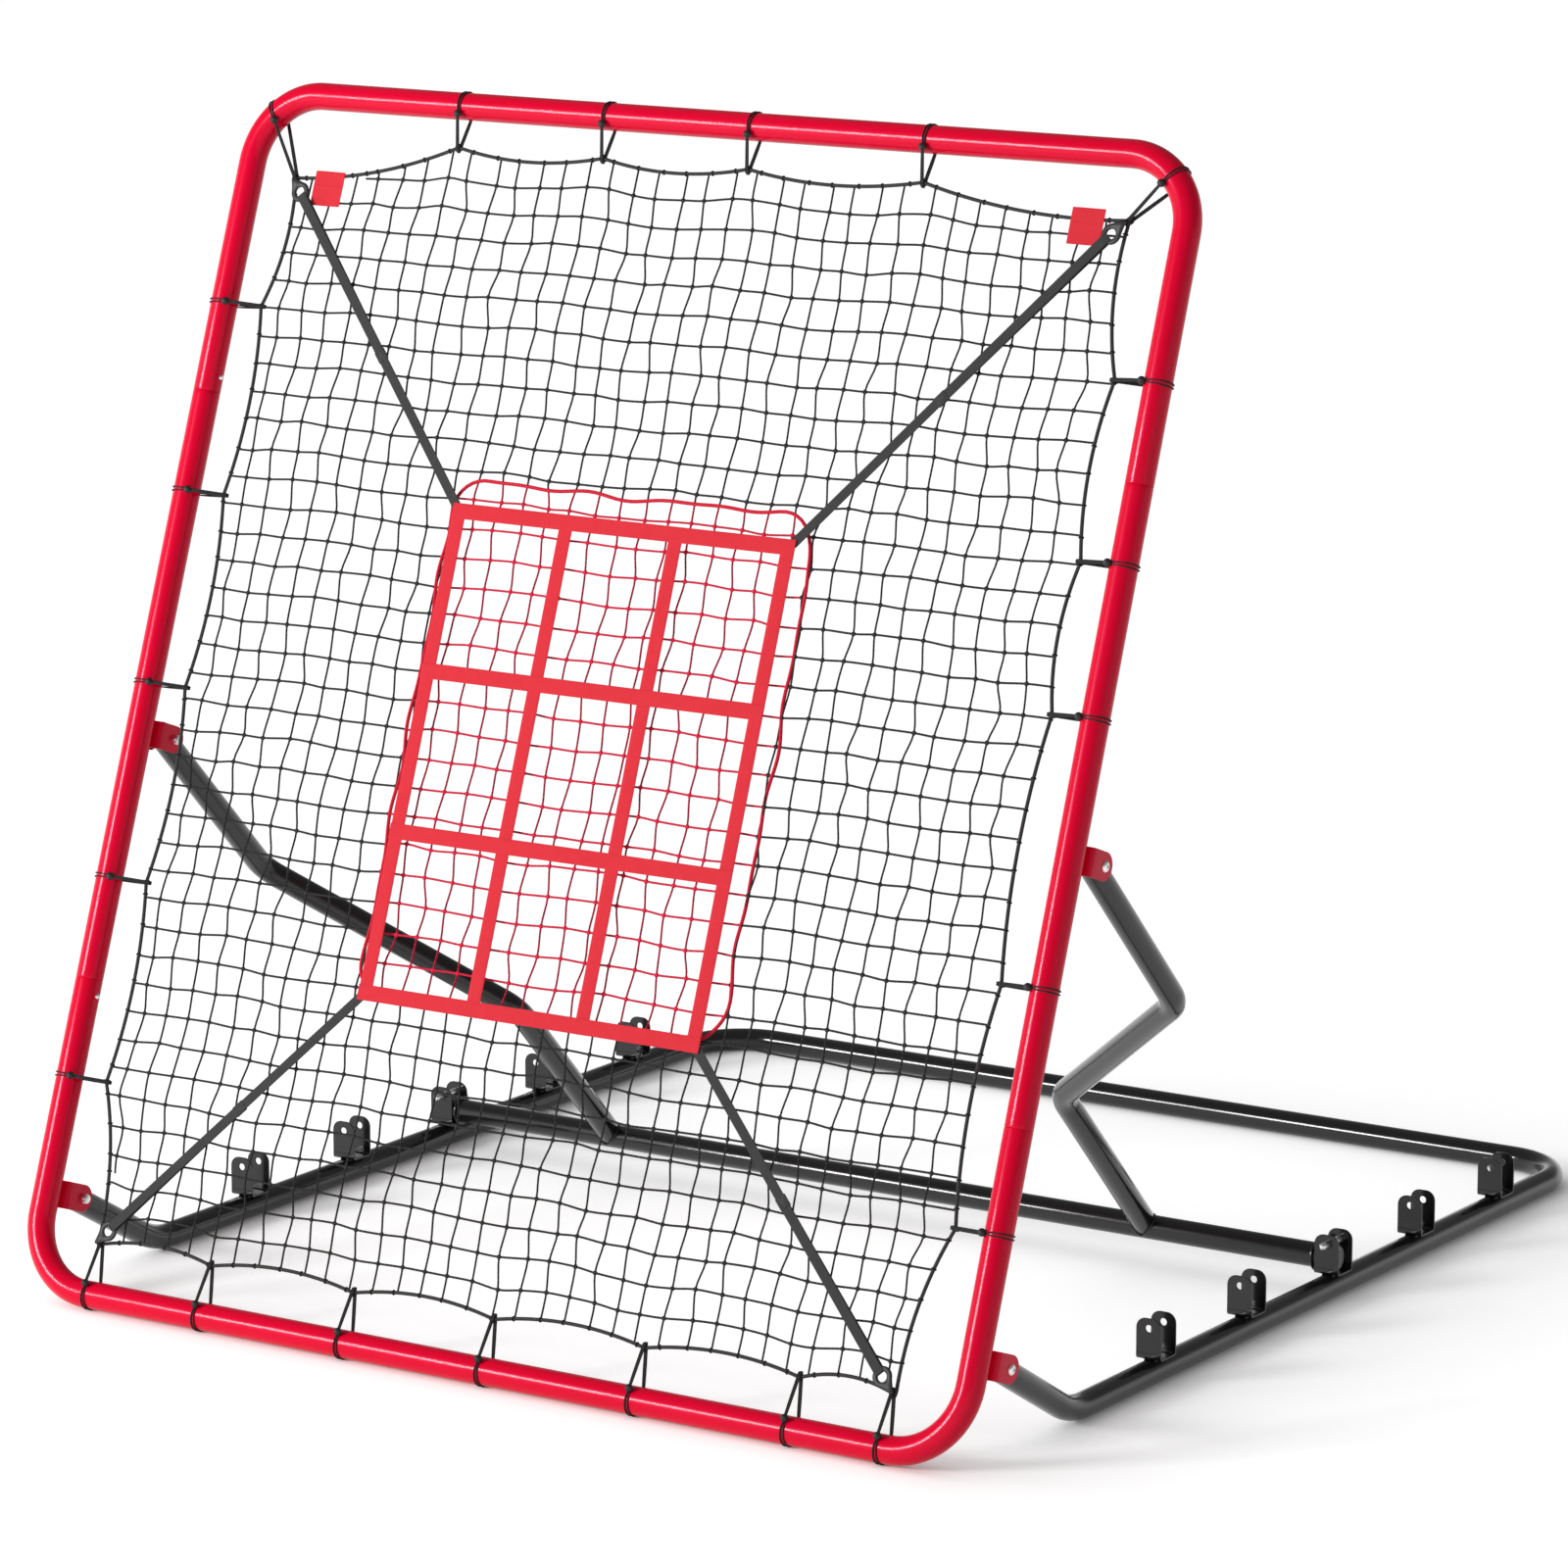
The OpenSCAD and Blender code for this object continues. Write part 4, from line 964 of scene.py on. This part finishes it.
def make_stand():
    """Two legs, each bent twice and welded round its foot, the crossbar and its two collars."""
    for name, side in SIDES.items():
        outer, inner = side * HALF_W, side * (HALF_W - LEG_STEP)
        corners = [
            (outer, 0, -PIVOT_NOSE), (outer, 0, LEG_STRAIGHT),
            (inner, 0, LEG_STRAIGHT + LEG_STEP), (inner, 0, STAND_L - BLACK_R / 3),
        ]
        leg = pipe(rounded(corners, [LEG_BEND] * 2, 18), BLACK_R, BLACK_LIP, Y, IN_STAND)
        foot = polar(BLACK_R + 0.5, turns(120), (inner, 0.0))
        depth = np.sqrt((BLACK_R + 0.8) ** 2 - foot[:, 1] ** 2)
        ring = np.column_stack([foot, STAND_L - depth])
        ripple = 1.5 * (1 + 0.12 * np.sin(np.arange(120) * TAU / 4))
        add_tube(leg, ring, ripple, (0.3, 0.2, 1), IN_STAND, sides=8, closed=True)
        piece(f"{name}_leg", leg, BLACK_COAT, "stand", "black_paint", f"leg_{name}")
    bar = pipe([(x, 0, STAND_L) for x in (-BAR_HALF, 0, BAR_HALF)], BLACK_R, BLACK_LIP, Y, IN_STAND)
    piece("stand_crossbar", bar, BLACK_COAT, "stand", "black_paint", "crossbar")
    collars = Surface()
    r, half = COLLAR_D / 2, COLLAR_T / 2
    profile = [(BLACK_R - 1, -half), *arc(0.8, -90, 0, 4, (r - 0.8, 0.8 - half))]
    profile += [*arc(0.8, 0, 90, 4, (r - 0.8, half - 0.8)), (BLACK_R - 1, half)]
    for side in SIDES.values():
        axes = IN_STAND.at((side * COLLAR_X, 0, STAND_L), x=Y, y=Z, z=X)
        add_turned(collars, profile, axes, looped=True)
    piece("crossbar_collars", collars, BLACK_COAT, "stand", "black_paint", "stop_collars")


def make_pins():
    """Each lock pin is a turned shank and head with a flat eye, and its pull ring hangs in the eye."""
    length = PIN_TIP + 2 * CLEVIS_HALF + 1
    r, chamfer, head_r = PIN_D / 2, PIN_D / 4, PIN_HEAD_D / 2
    profile = [(0.8, 0.0), (r - chamfer, 0.1), (r - 0.3, chamfer - 0.3), (r, chamfer + 0.3), (r, length)]
    profile += [(head_r - 0.6, length), (head_r, length + 0.6), (head_r, length + PIN_HEAD_T - 1)]
    profile += [(head_r - 1.0, length + PIN_HEAD_T), (3.0, length + PIN_HEAD_T)]
    eye = 1 + PIN_HEAD_T + PIN_EYE_OFF
    outline = ear_outline(r, 5.0, -PIN_EYE_OFF - 0.4, 4.99)
    turn = turns(48)
    loop = np.stack([RING_R * np.sin(turn), RING_R * (1 - np.cos(turn)), np.full(48, eye)], -1)
    for name, side in SIDES.items():
        axes = GROUND.at((side * HALF_W, BAR_Y + CLEVIS_HALF, PIN_Z), y=-Z, z=Y)
        pin = add_turned(Surface(), profile, axes.at((0, 0, 1 - length)), sides=36)
        tab = axes.at((0, 0, eye), x=Y, y=Z, z=X)
        add_plate(pin, outline, PIN_EYE_T, tab, edge=0.4, hole=RING_WIRE / 2 + 0.5)
        piece(f"{name}_lock_pin", pin, ZINC, f"pin_{name}", "zinc", f"lock_pin_{name}")
        ring = add_tube(Surface(), loop, RING_WIRE / 2, Z, axes, sides=12, closed=True)
        piece(f"{name}_pull_ring", ring, ZINC, f"ring_{name}", "zinc", f"pull_ring_{name}")


# The net

def rope_points():
    """The edge rope's route, as x and s: from tie to tie it bows inwards by 4*sag*t*(1 - t)."""
    ties = [LOWER_LEFT, *((-NET_HALF, s) for s in LEFT_TIES), UPPER_LEFT]
    ties += [*((x, NET_TOP) for x in TOP_TIES), UPPER_RIGHT]
    ties += [*((NET_HALF, s) for s in RIGHT_TIES[::-1]), LOWER_RIGHT]
    ties += [(x, NET_BOTTOM) for x in BOTTOM_TIES[-2:0:-1]]
    here = np.array(ties, float)
    step = np.roll(here, -1, 0) - here
    inwards = unit(np.stack([step[:, 1], -step[:, 0]], -1))
    t = np.linspace(0, 1, 24, endpoint=False)[None, :, None]
    route = here[:, None] + step[:, None] * t + inwards[:, None] * ROPE_SAG * 4 * t * (1 - t)
    return route.reshape(-1, 2)


def border_points():
    """The panel's border, as x and s: a rectangle with round corners, moved outwards by three
    sine waves along it."""
    x0, x1, s0, s1 = PANEL_X, PANEL_X + PANEL_W, PANEL_S - PANEL_DROP, PANEL_S + PANEL_H
    middle = (x0, (s0 + s1) / 2)
    corners = [middle, (x0, s1), (x1, s1), (x1, s0), (x0, s0), middle]
    path = evenly(rounded(corners, [52, 60, 62, 40], 12)[:-1], 9.0, closed=True)
    run = TAU * np.arange(len(path)) / len(path)
    ahead = round_way(path)
    outwards = np.stack([-ahead[:, 1], ahead[:, 0]], -1)
    wave = 2.2 * np.sin(15 * run) + 1.6 * np.sin(23 * run + 1) + 1.5 * np.sin(6 * run + 2)
    return path + outwards * wave[:, None]


def crossings(loop, axis, value):
    """The lowest and highest place at which a closed loop of points crosses a line across an axis."""
    after = np.roll(loop, -1, 0)
    here, there = loop[:, axis] - value, after[:, axis] - value
    hit = here * there < 0
    t = here[hit] / (here[hit] - there[hit])
    other = loop[hit, 1 - axis] + t * (after[hit, 1 - axis] - loop[hit, 1 - axis])
    return other.min(), other.max()


ROPE = rope_points()
BORDER = border_points()
COLUMNS = FIRST_COLUMN + MESH_PITCH_X * np.arange(MESH_COLUMNS)
ROWS = FIRST_ROW - MESH_PITCH_S * np.arange(MESH_ROWS)[::-1]
LINES = (COLUMNS, ROWS)
ROPE_ENDS = [np.array([crossings(ROPE, axis, v) for v in lines]) for axis, lines in enumerate(LINES)]


def net_knots():
    """Where the net's lines cross, as x, n and s for each column and row: a regular grid, drawn
    after the rope's bows near it, plus a small seeded scatter."""
    rng = np.random.default_rng(7)
    x, s = np.meshgrid(COLUMNS, ROWS, indexing="ij")
    shape = x.shape
    (low, high), (left, right) = ROPE_ENDS[0].T[:, :, None], ROPE_ENDS[1].T[:, None]

    def drawn(bow, distance):
        """A line's move after a bow of the rope, which fades away from it."""
        return (9 - bow).clip(-12, 12) * np.exp(-distance / 75.0)

    lift = drawn(NET_TOP - high, NET_TOP - s) - drawn(low - NET_BOTTOM, s - NET_BOTTOM)
    shift = drawn(NET_HALF - right, NET_HALF - x) - drawn(left + NET_HALF, x + NET_HALF)
    zigzag = np.where((np.arange(shape[0])[:, None] + np.arange(shape[1])) % 2, 1.0, -1.0)
    slow = 3.4 * np.sin(s / 38 + x / 260 + rng.normal(0, 0.8, (shape[0], 1)))
    dx = 1.5 * zigzag + slow + rng.normal(0, 1.6, shape)
    ds = 1.6 * np.sin(x / 47 + rng.normal(0, 0.6, (1, shape[1]))) + rng.normal(0, 0.9, shape)
    n = 1.6 * np.sin(x / 210 + 1) * np.sin(s / 170) + rng.normal(0, 0.4, shape)
    return np.stack([x + shift + dx, n, s + lift + ds], -1)


KNOTS = net_knots()


def add_cords(surface, axis, spans):
    """Cords along one direction of the net. Each runs through the knots that lie inside its span,
    from one end of the span to the other, and bows a little between two knots."""
    rows = KNOTS if axis == 0 else KNOTS.swapaxes(0, 1)
    run, across = (2, 0) if axis == 0 else (0, 2)
    for line, low, high in spans:
        row = rows[line]
        place = row[:, run]
        inside = row[(place > low + CORD_MARGIN) & (place < high - CORD_MARGIN)]
        ends = np.zeros((2, 3))
        ends[:, run] = low, high
        ends[:, across] = np.interp((low, high), place, row[:, across])
        path = smooth_path(np.concatenate([ends[:1], inside, ends[1:]]))
        add_tube(surface, path, NET_CORD / 2, Y, sides=6, start=line * 37.0)
    return surface


def add_knots(places):
    """Knots at many places: a ball flattened to 0.8 across the net, waisted by 1 + 0.16*cos(2a)
    round it, so that it shows the two turns of twine."""
    turn = turns(8)
    tilt = np.linspace(0.35, np.pi - 0.35, 4)[:, None]
    waist = 1 + 0.16 * np.cos(2 * turn)
    ball = np.stack([
        np.sin(tilt) * np.cos(turn) * waist, 0.8 * np.sin(tilt) * np.sin(turn) * waist,
        np.cos(tilt) * np.ones_like(turn),
    ], -1) * KNOT_R
    return Surface().add(places[:, None, None] + ball[None], IN_FRAME)


def add_eyes(places, ahead):
    """Small eyes of twine round the rope at many places: rings in the plane square to the rope."""
    out = np.broadcast_to(Y, places.shape)
    side = np.cross(ahead, out)
    phi, psi = turns(12)[:, None, None], turns(6)[None, :, None]
    ring, wire = ROPE_D / 2 + 0.5, 0.9
    spoke = np.cos(phi) * out[:, None, None] + np.sin(phi) * side[:, None, None]
    grid = places[:, None, None] + (ring + wire * np.cos(psi)) * spoke
    grid = grid + 1.3 * np.sin(psi) * ahead[:, None, None]
    return Surface().add(grid, IN_FRAME, round_rows=True)


def make_net():
    """Cords and knots of the black net and, inside the border, of the red panel."""
    black, red, eyes = ([], []), ([], []), []
    starts, sizes = (PANEL_X, PANEL_S), (PANEL_W, PANEL_H)
    inside = [
        (v > a + KNOT_CLEAR) & (v < a + size - KNOT_CLEAR) for v, a, size in zip(LINES, starts, sizes)
    ]
    for axis, lines in enumerate(LINES):
        for k, value in enumerate(lines):
            low, high = ROPE_ENDS[axis][k]
            if inside[axis][k]:
                first, last = crossings(BORDER, axis, value)
                black[axis].extend([(k, low, first), (k, last, high)])
                red[axis].append((k, first, last))
            else:
                black[axis].append((k, low, high))
            eyes += [(axis, value, low), (axis, value, high)]
    net = add_cords(add_cords(Surface(), 0, black[0]), 1, black[1])
    piece("net_cords", net, NET_TWINE, "frame", "black_cord", "net_mesh")
    panel = inside[0][:, None] & inside[1]
    x, s = KNOTS[..., 0], KNOTS[..., 2]
    (low, high), (left, right) = ROPE_ENDS[0].T[:, :, None], ROPE_ENDS[1].T[:, None]
    real = (s > low + KNOT_CLEAR) & (s < high - KNOT_CLEAR)
    real &= (x > left + KNOT_CLEAR) & (x < right - KNOT_CLEAR)
    knots = add_knots(KNOTS[real & ~panel])
    piece("net_knots", knots, NET_TWINE, "frame", "black_cord", "net_mesh")
    upright, across = (add_cords(Surface(), axis, red[axis]) for axis in (0, 1))
    piece("panel_upright_cords", upright, DARK_RED_TWINE, "frame", "red_cord", "panel_mesh")
    piece("panel_cross_cords", across, RED_TWINE, "frame", "red_cord", "panel_mesh")
    knots = add_knots(KNOTS[real & panel])
    piece("panel_knots", knots, RED_TWINE, "frame", "red_cord", "panel_mesh")
    make_rope_and_border(eyes)


def make_rope_and_border(ends):
    """The edge rope with an eye of twine at each cord's end, and the panel's border."""
    path = in_net(evenly(ROPE, 6.0, closed=True))
    rope = add_tube(Surface(), path, ROPE_D / 2, Y, sides=14, closed=True)
    piece("edge_rope_braid", rope, EDGE_BRAID, "frame", "black_cord", "edge_rope")
    places = np.array([(v, 0.0, e) if axis == 0 else (e, 0.0, v) for axis, v, e in ends])
    nearest = np.argmin(((path[None] - places[:, None]) ** 2).sum(-1), axis=1)
    eyes = add_eyes(path[nearest], round_way(path)[nearest])
    piece("rope_eyes", eyes, NET_TWINE, "frame", "black_cord", "edge_rope")
    border = add_tube(Surface(), in_net(BORDER), BORDER_D / 2, Y, sides=14, closed=True)
    piece("panel_border_braid", border, BORDER_BRAID, "frame", "red_cord", "panel_border")


# Strike zone and straps

def make_zone():
    """Webbing laid in two layers; each strip bows a little between its crossings."""
    uprights, rungs = Surface(), Surface()
    t = np.linspace(0, 1, 49)
    bow = 0.35 * (1 - np.cos(t * 3 * TAU)) / 2
    for k in range(4):
        x = ZONE_X + WEBBING_W / 2 + k * (ZONE_W - WEBBING_W) / 3
        path = np.stack([np.full(49, x), UPRIGHT_N + bow, ZONE_S + t * ZONE_H], -1)
        add_band(uprights, path, WEBBING_W, WEBBING_T, Y)
        s = ZONE_S + WEBBING_W / 2 + k * (ZONE_H - WEBBING_W) / 3
        path = np.stack([ZONE_X + t * ZONE_W, RUNG_N - bow, np.full(49, s)], -1)
        add_band(rungs, path, WEBBING_W, WEBBING_T, Y)
    piece("zone_upright_webbing", uprights, RED_WEBBING, "frame", "red_webbing", "zone_uprights")
    piece("zone_cross_webbing", rungs, RED_WEBBING, "frame", "red_webbing", "zone_rungs")


STRAPS = {
    "upper_left": ((ZONE_X, ZONE_S + ZONE_H), UPPER_LEFT),
    "upper_right": ((ZONE_X + ZONE_W, ZONE_S + ZONE_H), UPPER_RIGHT),
    "lower_left": ((ZONE_X, ZONE_S), LOWER_LEFT),
    "lower_right": ((ZONE_X + ZONE_W, ZONE_S), LOWER_RIGHT),
}


def towards(start, end):
    """Axes at one point of the net's plane: x runs to another, y behind the net; and the distance."""
    step = np.array(end, float) - np.array(start, float)
    way = unit(step)
    axes = IN_FRAME.at((start[0], 0, start[1]), x=(way[0], 0, way[1]), z=(-way[1], 0, way[0]))
    return axes, float(np.linalg.norm(step))


def make_straps():
    """Each strap runs from a corner of the zone to its hook, round the hook's eye and back to a
    keeper near its middle."""
    hooks = Surface()
    thin, gap = STRAP_THIN, STRAP_GAP
    first = UPRIGHT_N + WEBBING_T / 2 + thin / 2 + 0.1
    front = HOOK_N - HOOK_T / 2 - thin / 2 - gap
    back = HOOK_N + HOOK_T / 2 + thin / 2 + gap
    half = (back - front) / 2
    cosine, sine = arc(1.0, -90, 90, 9).T
    for name, (corner, eye) in STRAPS.items():
        axes, distance = towards(corner, eye)
        axes, reach = axes.at((0, 0, 0), x=-Z, z=X), distance - HOOK_REACH
        middle = reach * 0.46
        at = first + (front - first) / reach * middle
        end = reach + HOOK_D / 4 + 0.4
        bend = np.stack([np.zeros(9), (back + front) / 2 + half * sine, end + 0.8 * half * cosine], -1)
        route = np.concatenate([
            [(0, first, -8.0), (0, at, middle), (0, front, reach - 6)], bend,
            [(0, back, reach - 6), (0, at + thin + gap, middle + 60), (0, at + thin + gap, middle + 2)],
        ])
        strap = add_band(Surface(), evenly(route, 6.0), STRAP_W, thin, Y, axes)
        strap_keeper(strap, axes.at((0, at + thin / 2 + 0.07, middle + 10)), thin)
        piece(f"{name}_strap", strap, STRAP_WEBBING, "frame", "black_webbing", f"strap_{name}")
        add_hook(hooks, axes.at((0, HOOK_N, reach + HOOK_D / 2), y=Z, z=-Y))
    sharp = math.radians(50)
    piece("strap_end_hooks", hooks, HOOK_PLASTIC, "frame", "black_plastic", "strap_hooks", sharp=sharp)


def strap_keeper(surface, axes, thin):
    """The sewn sleeve that holds the strap's doubled end: a short band round both layers, with
    (wide*|cos|**0.35, deep*|sin|**0.35) as its section."""
    wide, deep = STRAP_W / 2 + 0.9, thin + 0.7
    round_section = circle(1.0, 28)
    ring = (wide, deep) * np.sign(round_section) * np.abs(round_section) ** 0.35
    ends = np.array([0.94, 1.0, 1.0, 0.94])[:, None, None]
    return surface.add(raised(ring * ends, [-9.0, -8.6, 8.6, 9.0]), axes)


def add_hook(surface, axes):
    """A flat hook: a round eye whose outline runs into a tapering tail with a rounded tip."""
    r = HOOK_D / 2
    eye = arc(r, 150, 390, 31)
    tip = arc(3.2, 20, 160, 9, (0, HOOK_TAIL - 3))
    t = np.linspace(0, 1, 9)[1:-1, None]
    start, end = eye[-1], tip[0]
    waist = np.array([r * 0.52, r * 0.95])
    right = (1 - t) ** 2 * start + 2 * t * (1 - t) * waist + t**2 * end
    left = right[::-1] * (-1, 1)
    outline = np.concatenate([eye, right, tip, left])
    return add_plate(surface, outline, HOOK_T, axes, edge=0.9, hole=HOOK_D / 4)


def make_patches():
    """Two small cloth patches over the rope: each hangs with a small wave across it."""
    for name, x, top in (
        ("left", UPPER_LEFT[0] + PATCH_OFF, UPPER_LEFT[1] + 12),
        ("right", UPPER_RIGHT[0] - PATCH_OFF - PATCH, UPPER_RIGHT[1] + 12),
    ):
        u, v = np.meshgrid(np.linspace(0, 1, 13), np.linspace(0, 1, 13), indexing="ij")
        n = -ROPE_D / 2 - 0.8 - 0.5 * np.sin(u * 5 + v * 2)
        edge = np.stack([x + PATCH * u, n, top - PATCH * v], -1)
        loop = np.concatenate([edge - 0.5 * Y, (edge + 0.5 * Y)[:, ::-1]], axis=1)
        surface = Surface()
        surface.add(loop, IN_FRAME, along=np.arange(14) * 4.0, around=np.arange(27) * 4.0)
        made = piece(f"{name}_patch", surface, RED_WEBBING, "frame", "red_webbing", "corner_patches")


# Ties

def add_tie(cords, balls, tube, rope):
    """A ball tie: two strands pass round the tube from the ball, over its outer side, and behind it
    to the rope, turn round the rope and come back to the ball in front."""
    axes, reach = towards(tube, rope)
    r = FRAME_R + TIE_CORD / 2 + 0.05
    hold = ROPE_D / 2 + TIE_CORD / 2
    ball = polar(FRAME_R + 4.6, math.radians(-52))
    wrap = polar(r, np.radians(np.arange(-62, -268, -12.0)))
    turn = polar(hold, np.radians([60.0, 20.0, -20.0, -60.0]), (reach, 0.0))
    flat = np.concatenate([[ball], wrap, turn, [ball]])
    apart = 1.2 + 1.4 * np.sin(np.linspace(0.2, 3.0, len(wrap)))
    apart = np.concatenate([[0.5], apart, [1.3, 1.2, 1.2, 1.3], [0.9]])
    for w in (-1, 1):
        path = smooth_path(np.column_stack([flat, apart * w]))
        free = np.clip((np.hypot(path[:, 0], path[:, 1]) - r) / 8, 0, 1)
        add_tube(cords, path, TIE_CORD / 2 + 0.5 * free, (0.05, 0.1, 1), axes, sides=8)
    loop = polar(hold + 0.9, turns(16), (reach, 0.0))
    for w in (-1.6, 0.4, 2.4):
        height = w + 0.5 * np.sin(turns(16))
        add_tube(cords, np.column_stack([loop, height]), TIE_CORD / 2, Z, axes, sides=8, closed=True)
    profile = BALL_D / 2 * polar(1.0, np.linspace(0.16, np.pi - 0.16, 13) - np.pi / 2)
    outwards = unit([*ball, 0.0])
    centre = axes.at((*ball, 0.0), x=(-outwards[1], outwards[0], 0.0), y=Z, z=outwards)
    add_turned(balls, profile, centre, sides=22)


def make_ties():
    """Ball ties from the tubes to the rope, in one group for each side of the frame."""
    corner, up = HALF_W - CORNER_DIP, FRAME_H - CORNER_DIP
    groups = {
        "top": [((x, FRAME_H), (x, NET_TOP)) for x in TOP_TIES]
        + [((-corner, up), UPPER_LEFT), ((corner, up), UPPER_RIGHT)],
        "left": [((-HALF_W, s), (-NET_HALF, s)) for s in LEFT_TIES],
        "right": [((HALF_W, s), (NET_HALF, s)) for s in RIGHT_TIES],
        "bottom": [((x, 0), (x, NET_BOTTOM)) for x in BOTTOM_TIES],
    }
    for beside, k in ((TIE_BESIDE, 0), (-TIE_BESIDE, -1)):
        (x, foot), (_, top) = groups["bottom"][k]
        groups["bottom"][k] = ((x + beside, foot), (x + beside, top + 1.3))
    for name, ties in groups.items():
        cords, balls = Surface(), Surface()
        for tube, rope in ties:
            add_tie(cords, balls, tube, rope)
        piece(f"{name}_elastic_ties", cords, ELASTIC, "frame", "elastic", f"ties_{name}")
        piece(f"{name}_tie_balls", balls, BLACK_PLASTIC, "frame", "elastic", f"ties_{name}")


def finish_springs():
    """The leaf springs inside the spigots keep their own shape and get the zinc finish."""
    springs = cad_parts["button_springs"]
    springs.data.materials.clear()
    springs.data.materials.append(ZINC)


# ---- Room

def make_camera():
    """A long lens in front and to the right, looking a little down."""
    camera = bpy.data.objects.new("camera", bpy.data.cameras.new("camera"))
    bpy.context.scene.collection.objects.link(camera)
    camera.location = (4.9953, -7.7594, 2.5761)
    camera.rotation_euler = (math.pi / 2 - 0.2050, 0.0, 0.5784)
    camera.data.lens = 154.35
    camera.data.sensor_width = 36.0
    bpy.context.scene.camera = camera


def lamp(name, place, target, width, height, power):
    """An area lamp at a place, facing a target."""
    data = bpy.data.lights.new(name, "AREA")
    data.shape, data.size, data.size_y, data.energy = "RECTANGLE", width, height, power
    made = bpy.data.objects.new(name, data)
    bpy.context.scene.collection.objects.link(made)
    made.location = place
    made.rotation_euler = (Vector(target) - Vector(place)).to_track_quat("-Z", "Y").to_euler()


def make_floor():
    """A pale floor that takes soft shadows from the lamp and glows for the rays that show it as a
    background; the glow is dimmed by occlusion on the lamp's side, a painted shadow.
    """
    m = Finish("studio_floor")
    camera, glossy, through = (
        m.node("LightPath", out=f"Is {ray} Ray") for ray in ("Camera", "Glossy", "Transmission")
    )
    shown = camera + glossy + through
    away = m.node("VectorMath", {"operation": "LENGTH"}, {0: m.place()}, "Value")
    limits = {"Value": away, "From Min": 1.2, "From Max": 7.0, "To Min": 0.7, "To Max": 0.8}
    level = m.node("MapRange", {"interpolation_type": "SMOOTHSTEP"}, limits)
    # painted shadow: the glow is dimmed where the object blocks the side towards the lamp, by occlusion
    # round a normal tilted that way
    towards_lamp = m.node("CombineXYZ", None, {"X": -0.75, "Y": -0.3, "Z": 0.6})
    reach = {"Distance": 0.4, "Normal": towards_lamp}
    painted_shadow_factor = m.node("AmbientOcclusion", {"samples": 6}, reach, "AO")
    strength = level * painted_shadow_factor.power(1.5) * shown.clamped()
    cloth = m.node("BsdfDiffuse", None, {"Color": (0.88, 0.88, 0.88, 1)})
    glow = m.node("Emission", None, {"Color": (1, 1, 1, 1), "Strength": strength})
    both = m.node("AddShader", None, {0: cloth, 1: glow})
    m.node("OutputMaterial", None, {"Surface": both})
    mesh = bpy.data.meshes.new("floor")
    rim = np.column_stack([circle(90.0, 64), np.zeros(64)])
    mesh.from_pydata(rim.tolist(), [], [tuple(range(64))])
    floor = bpy.data.objects.new("floor", mesh)
    floor.data.materials.append(m.material)
    bpy.context.scene.collection.objects.link(floor)


def make_world():
    """A surround that is white at the horizon and dim overhead, by the height of the direction."""
    world = bpy.data.worlds.new("studio")
    w = Nodes(world)
    way = w.node("TexCoord", out="Generated")
    height = w.node("SeparateXYZ", None, {"Vector": way}, "Z")
    limits = {"Value": height, "From Min": 0.1, "From Max": 0.34, "To Min": 1.0, "To Max": 0.2}
    level = w.node("MapRange", {"interpolation_type": "SMOOTHSTEP"}, limits)
    light = w.node("Background", None, {"Color": (1, 1, 1, 1), "Strength": level})
    w.node("OutputWorld", None, {"Surface": light})
    bpy.context.scene.world = world


def make_room():
    """The floor, the surround and one softbox in front on the left."""
    make_floor()
    make_world()
    lamp("softbox", (-5.0, -7.8, 3.3), (0, 0, 0.8), 2.4, 1.9, 600)


make_camera()
make_room()
make_frame_tubes()
make_base()
make_plugs()
make_clevises()
make_brackets()
make_pivot_hardware()
make_snap_buttons()
make_stand()
make_pins()
make_net()
make_zone()
make_straps()
make_patches()
make_ties()
finish_springs()

bpy.context.scene.view_settings.view_transform = "Standard"
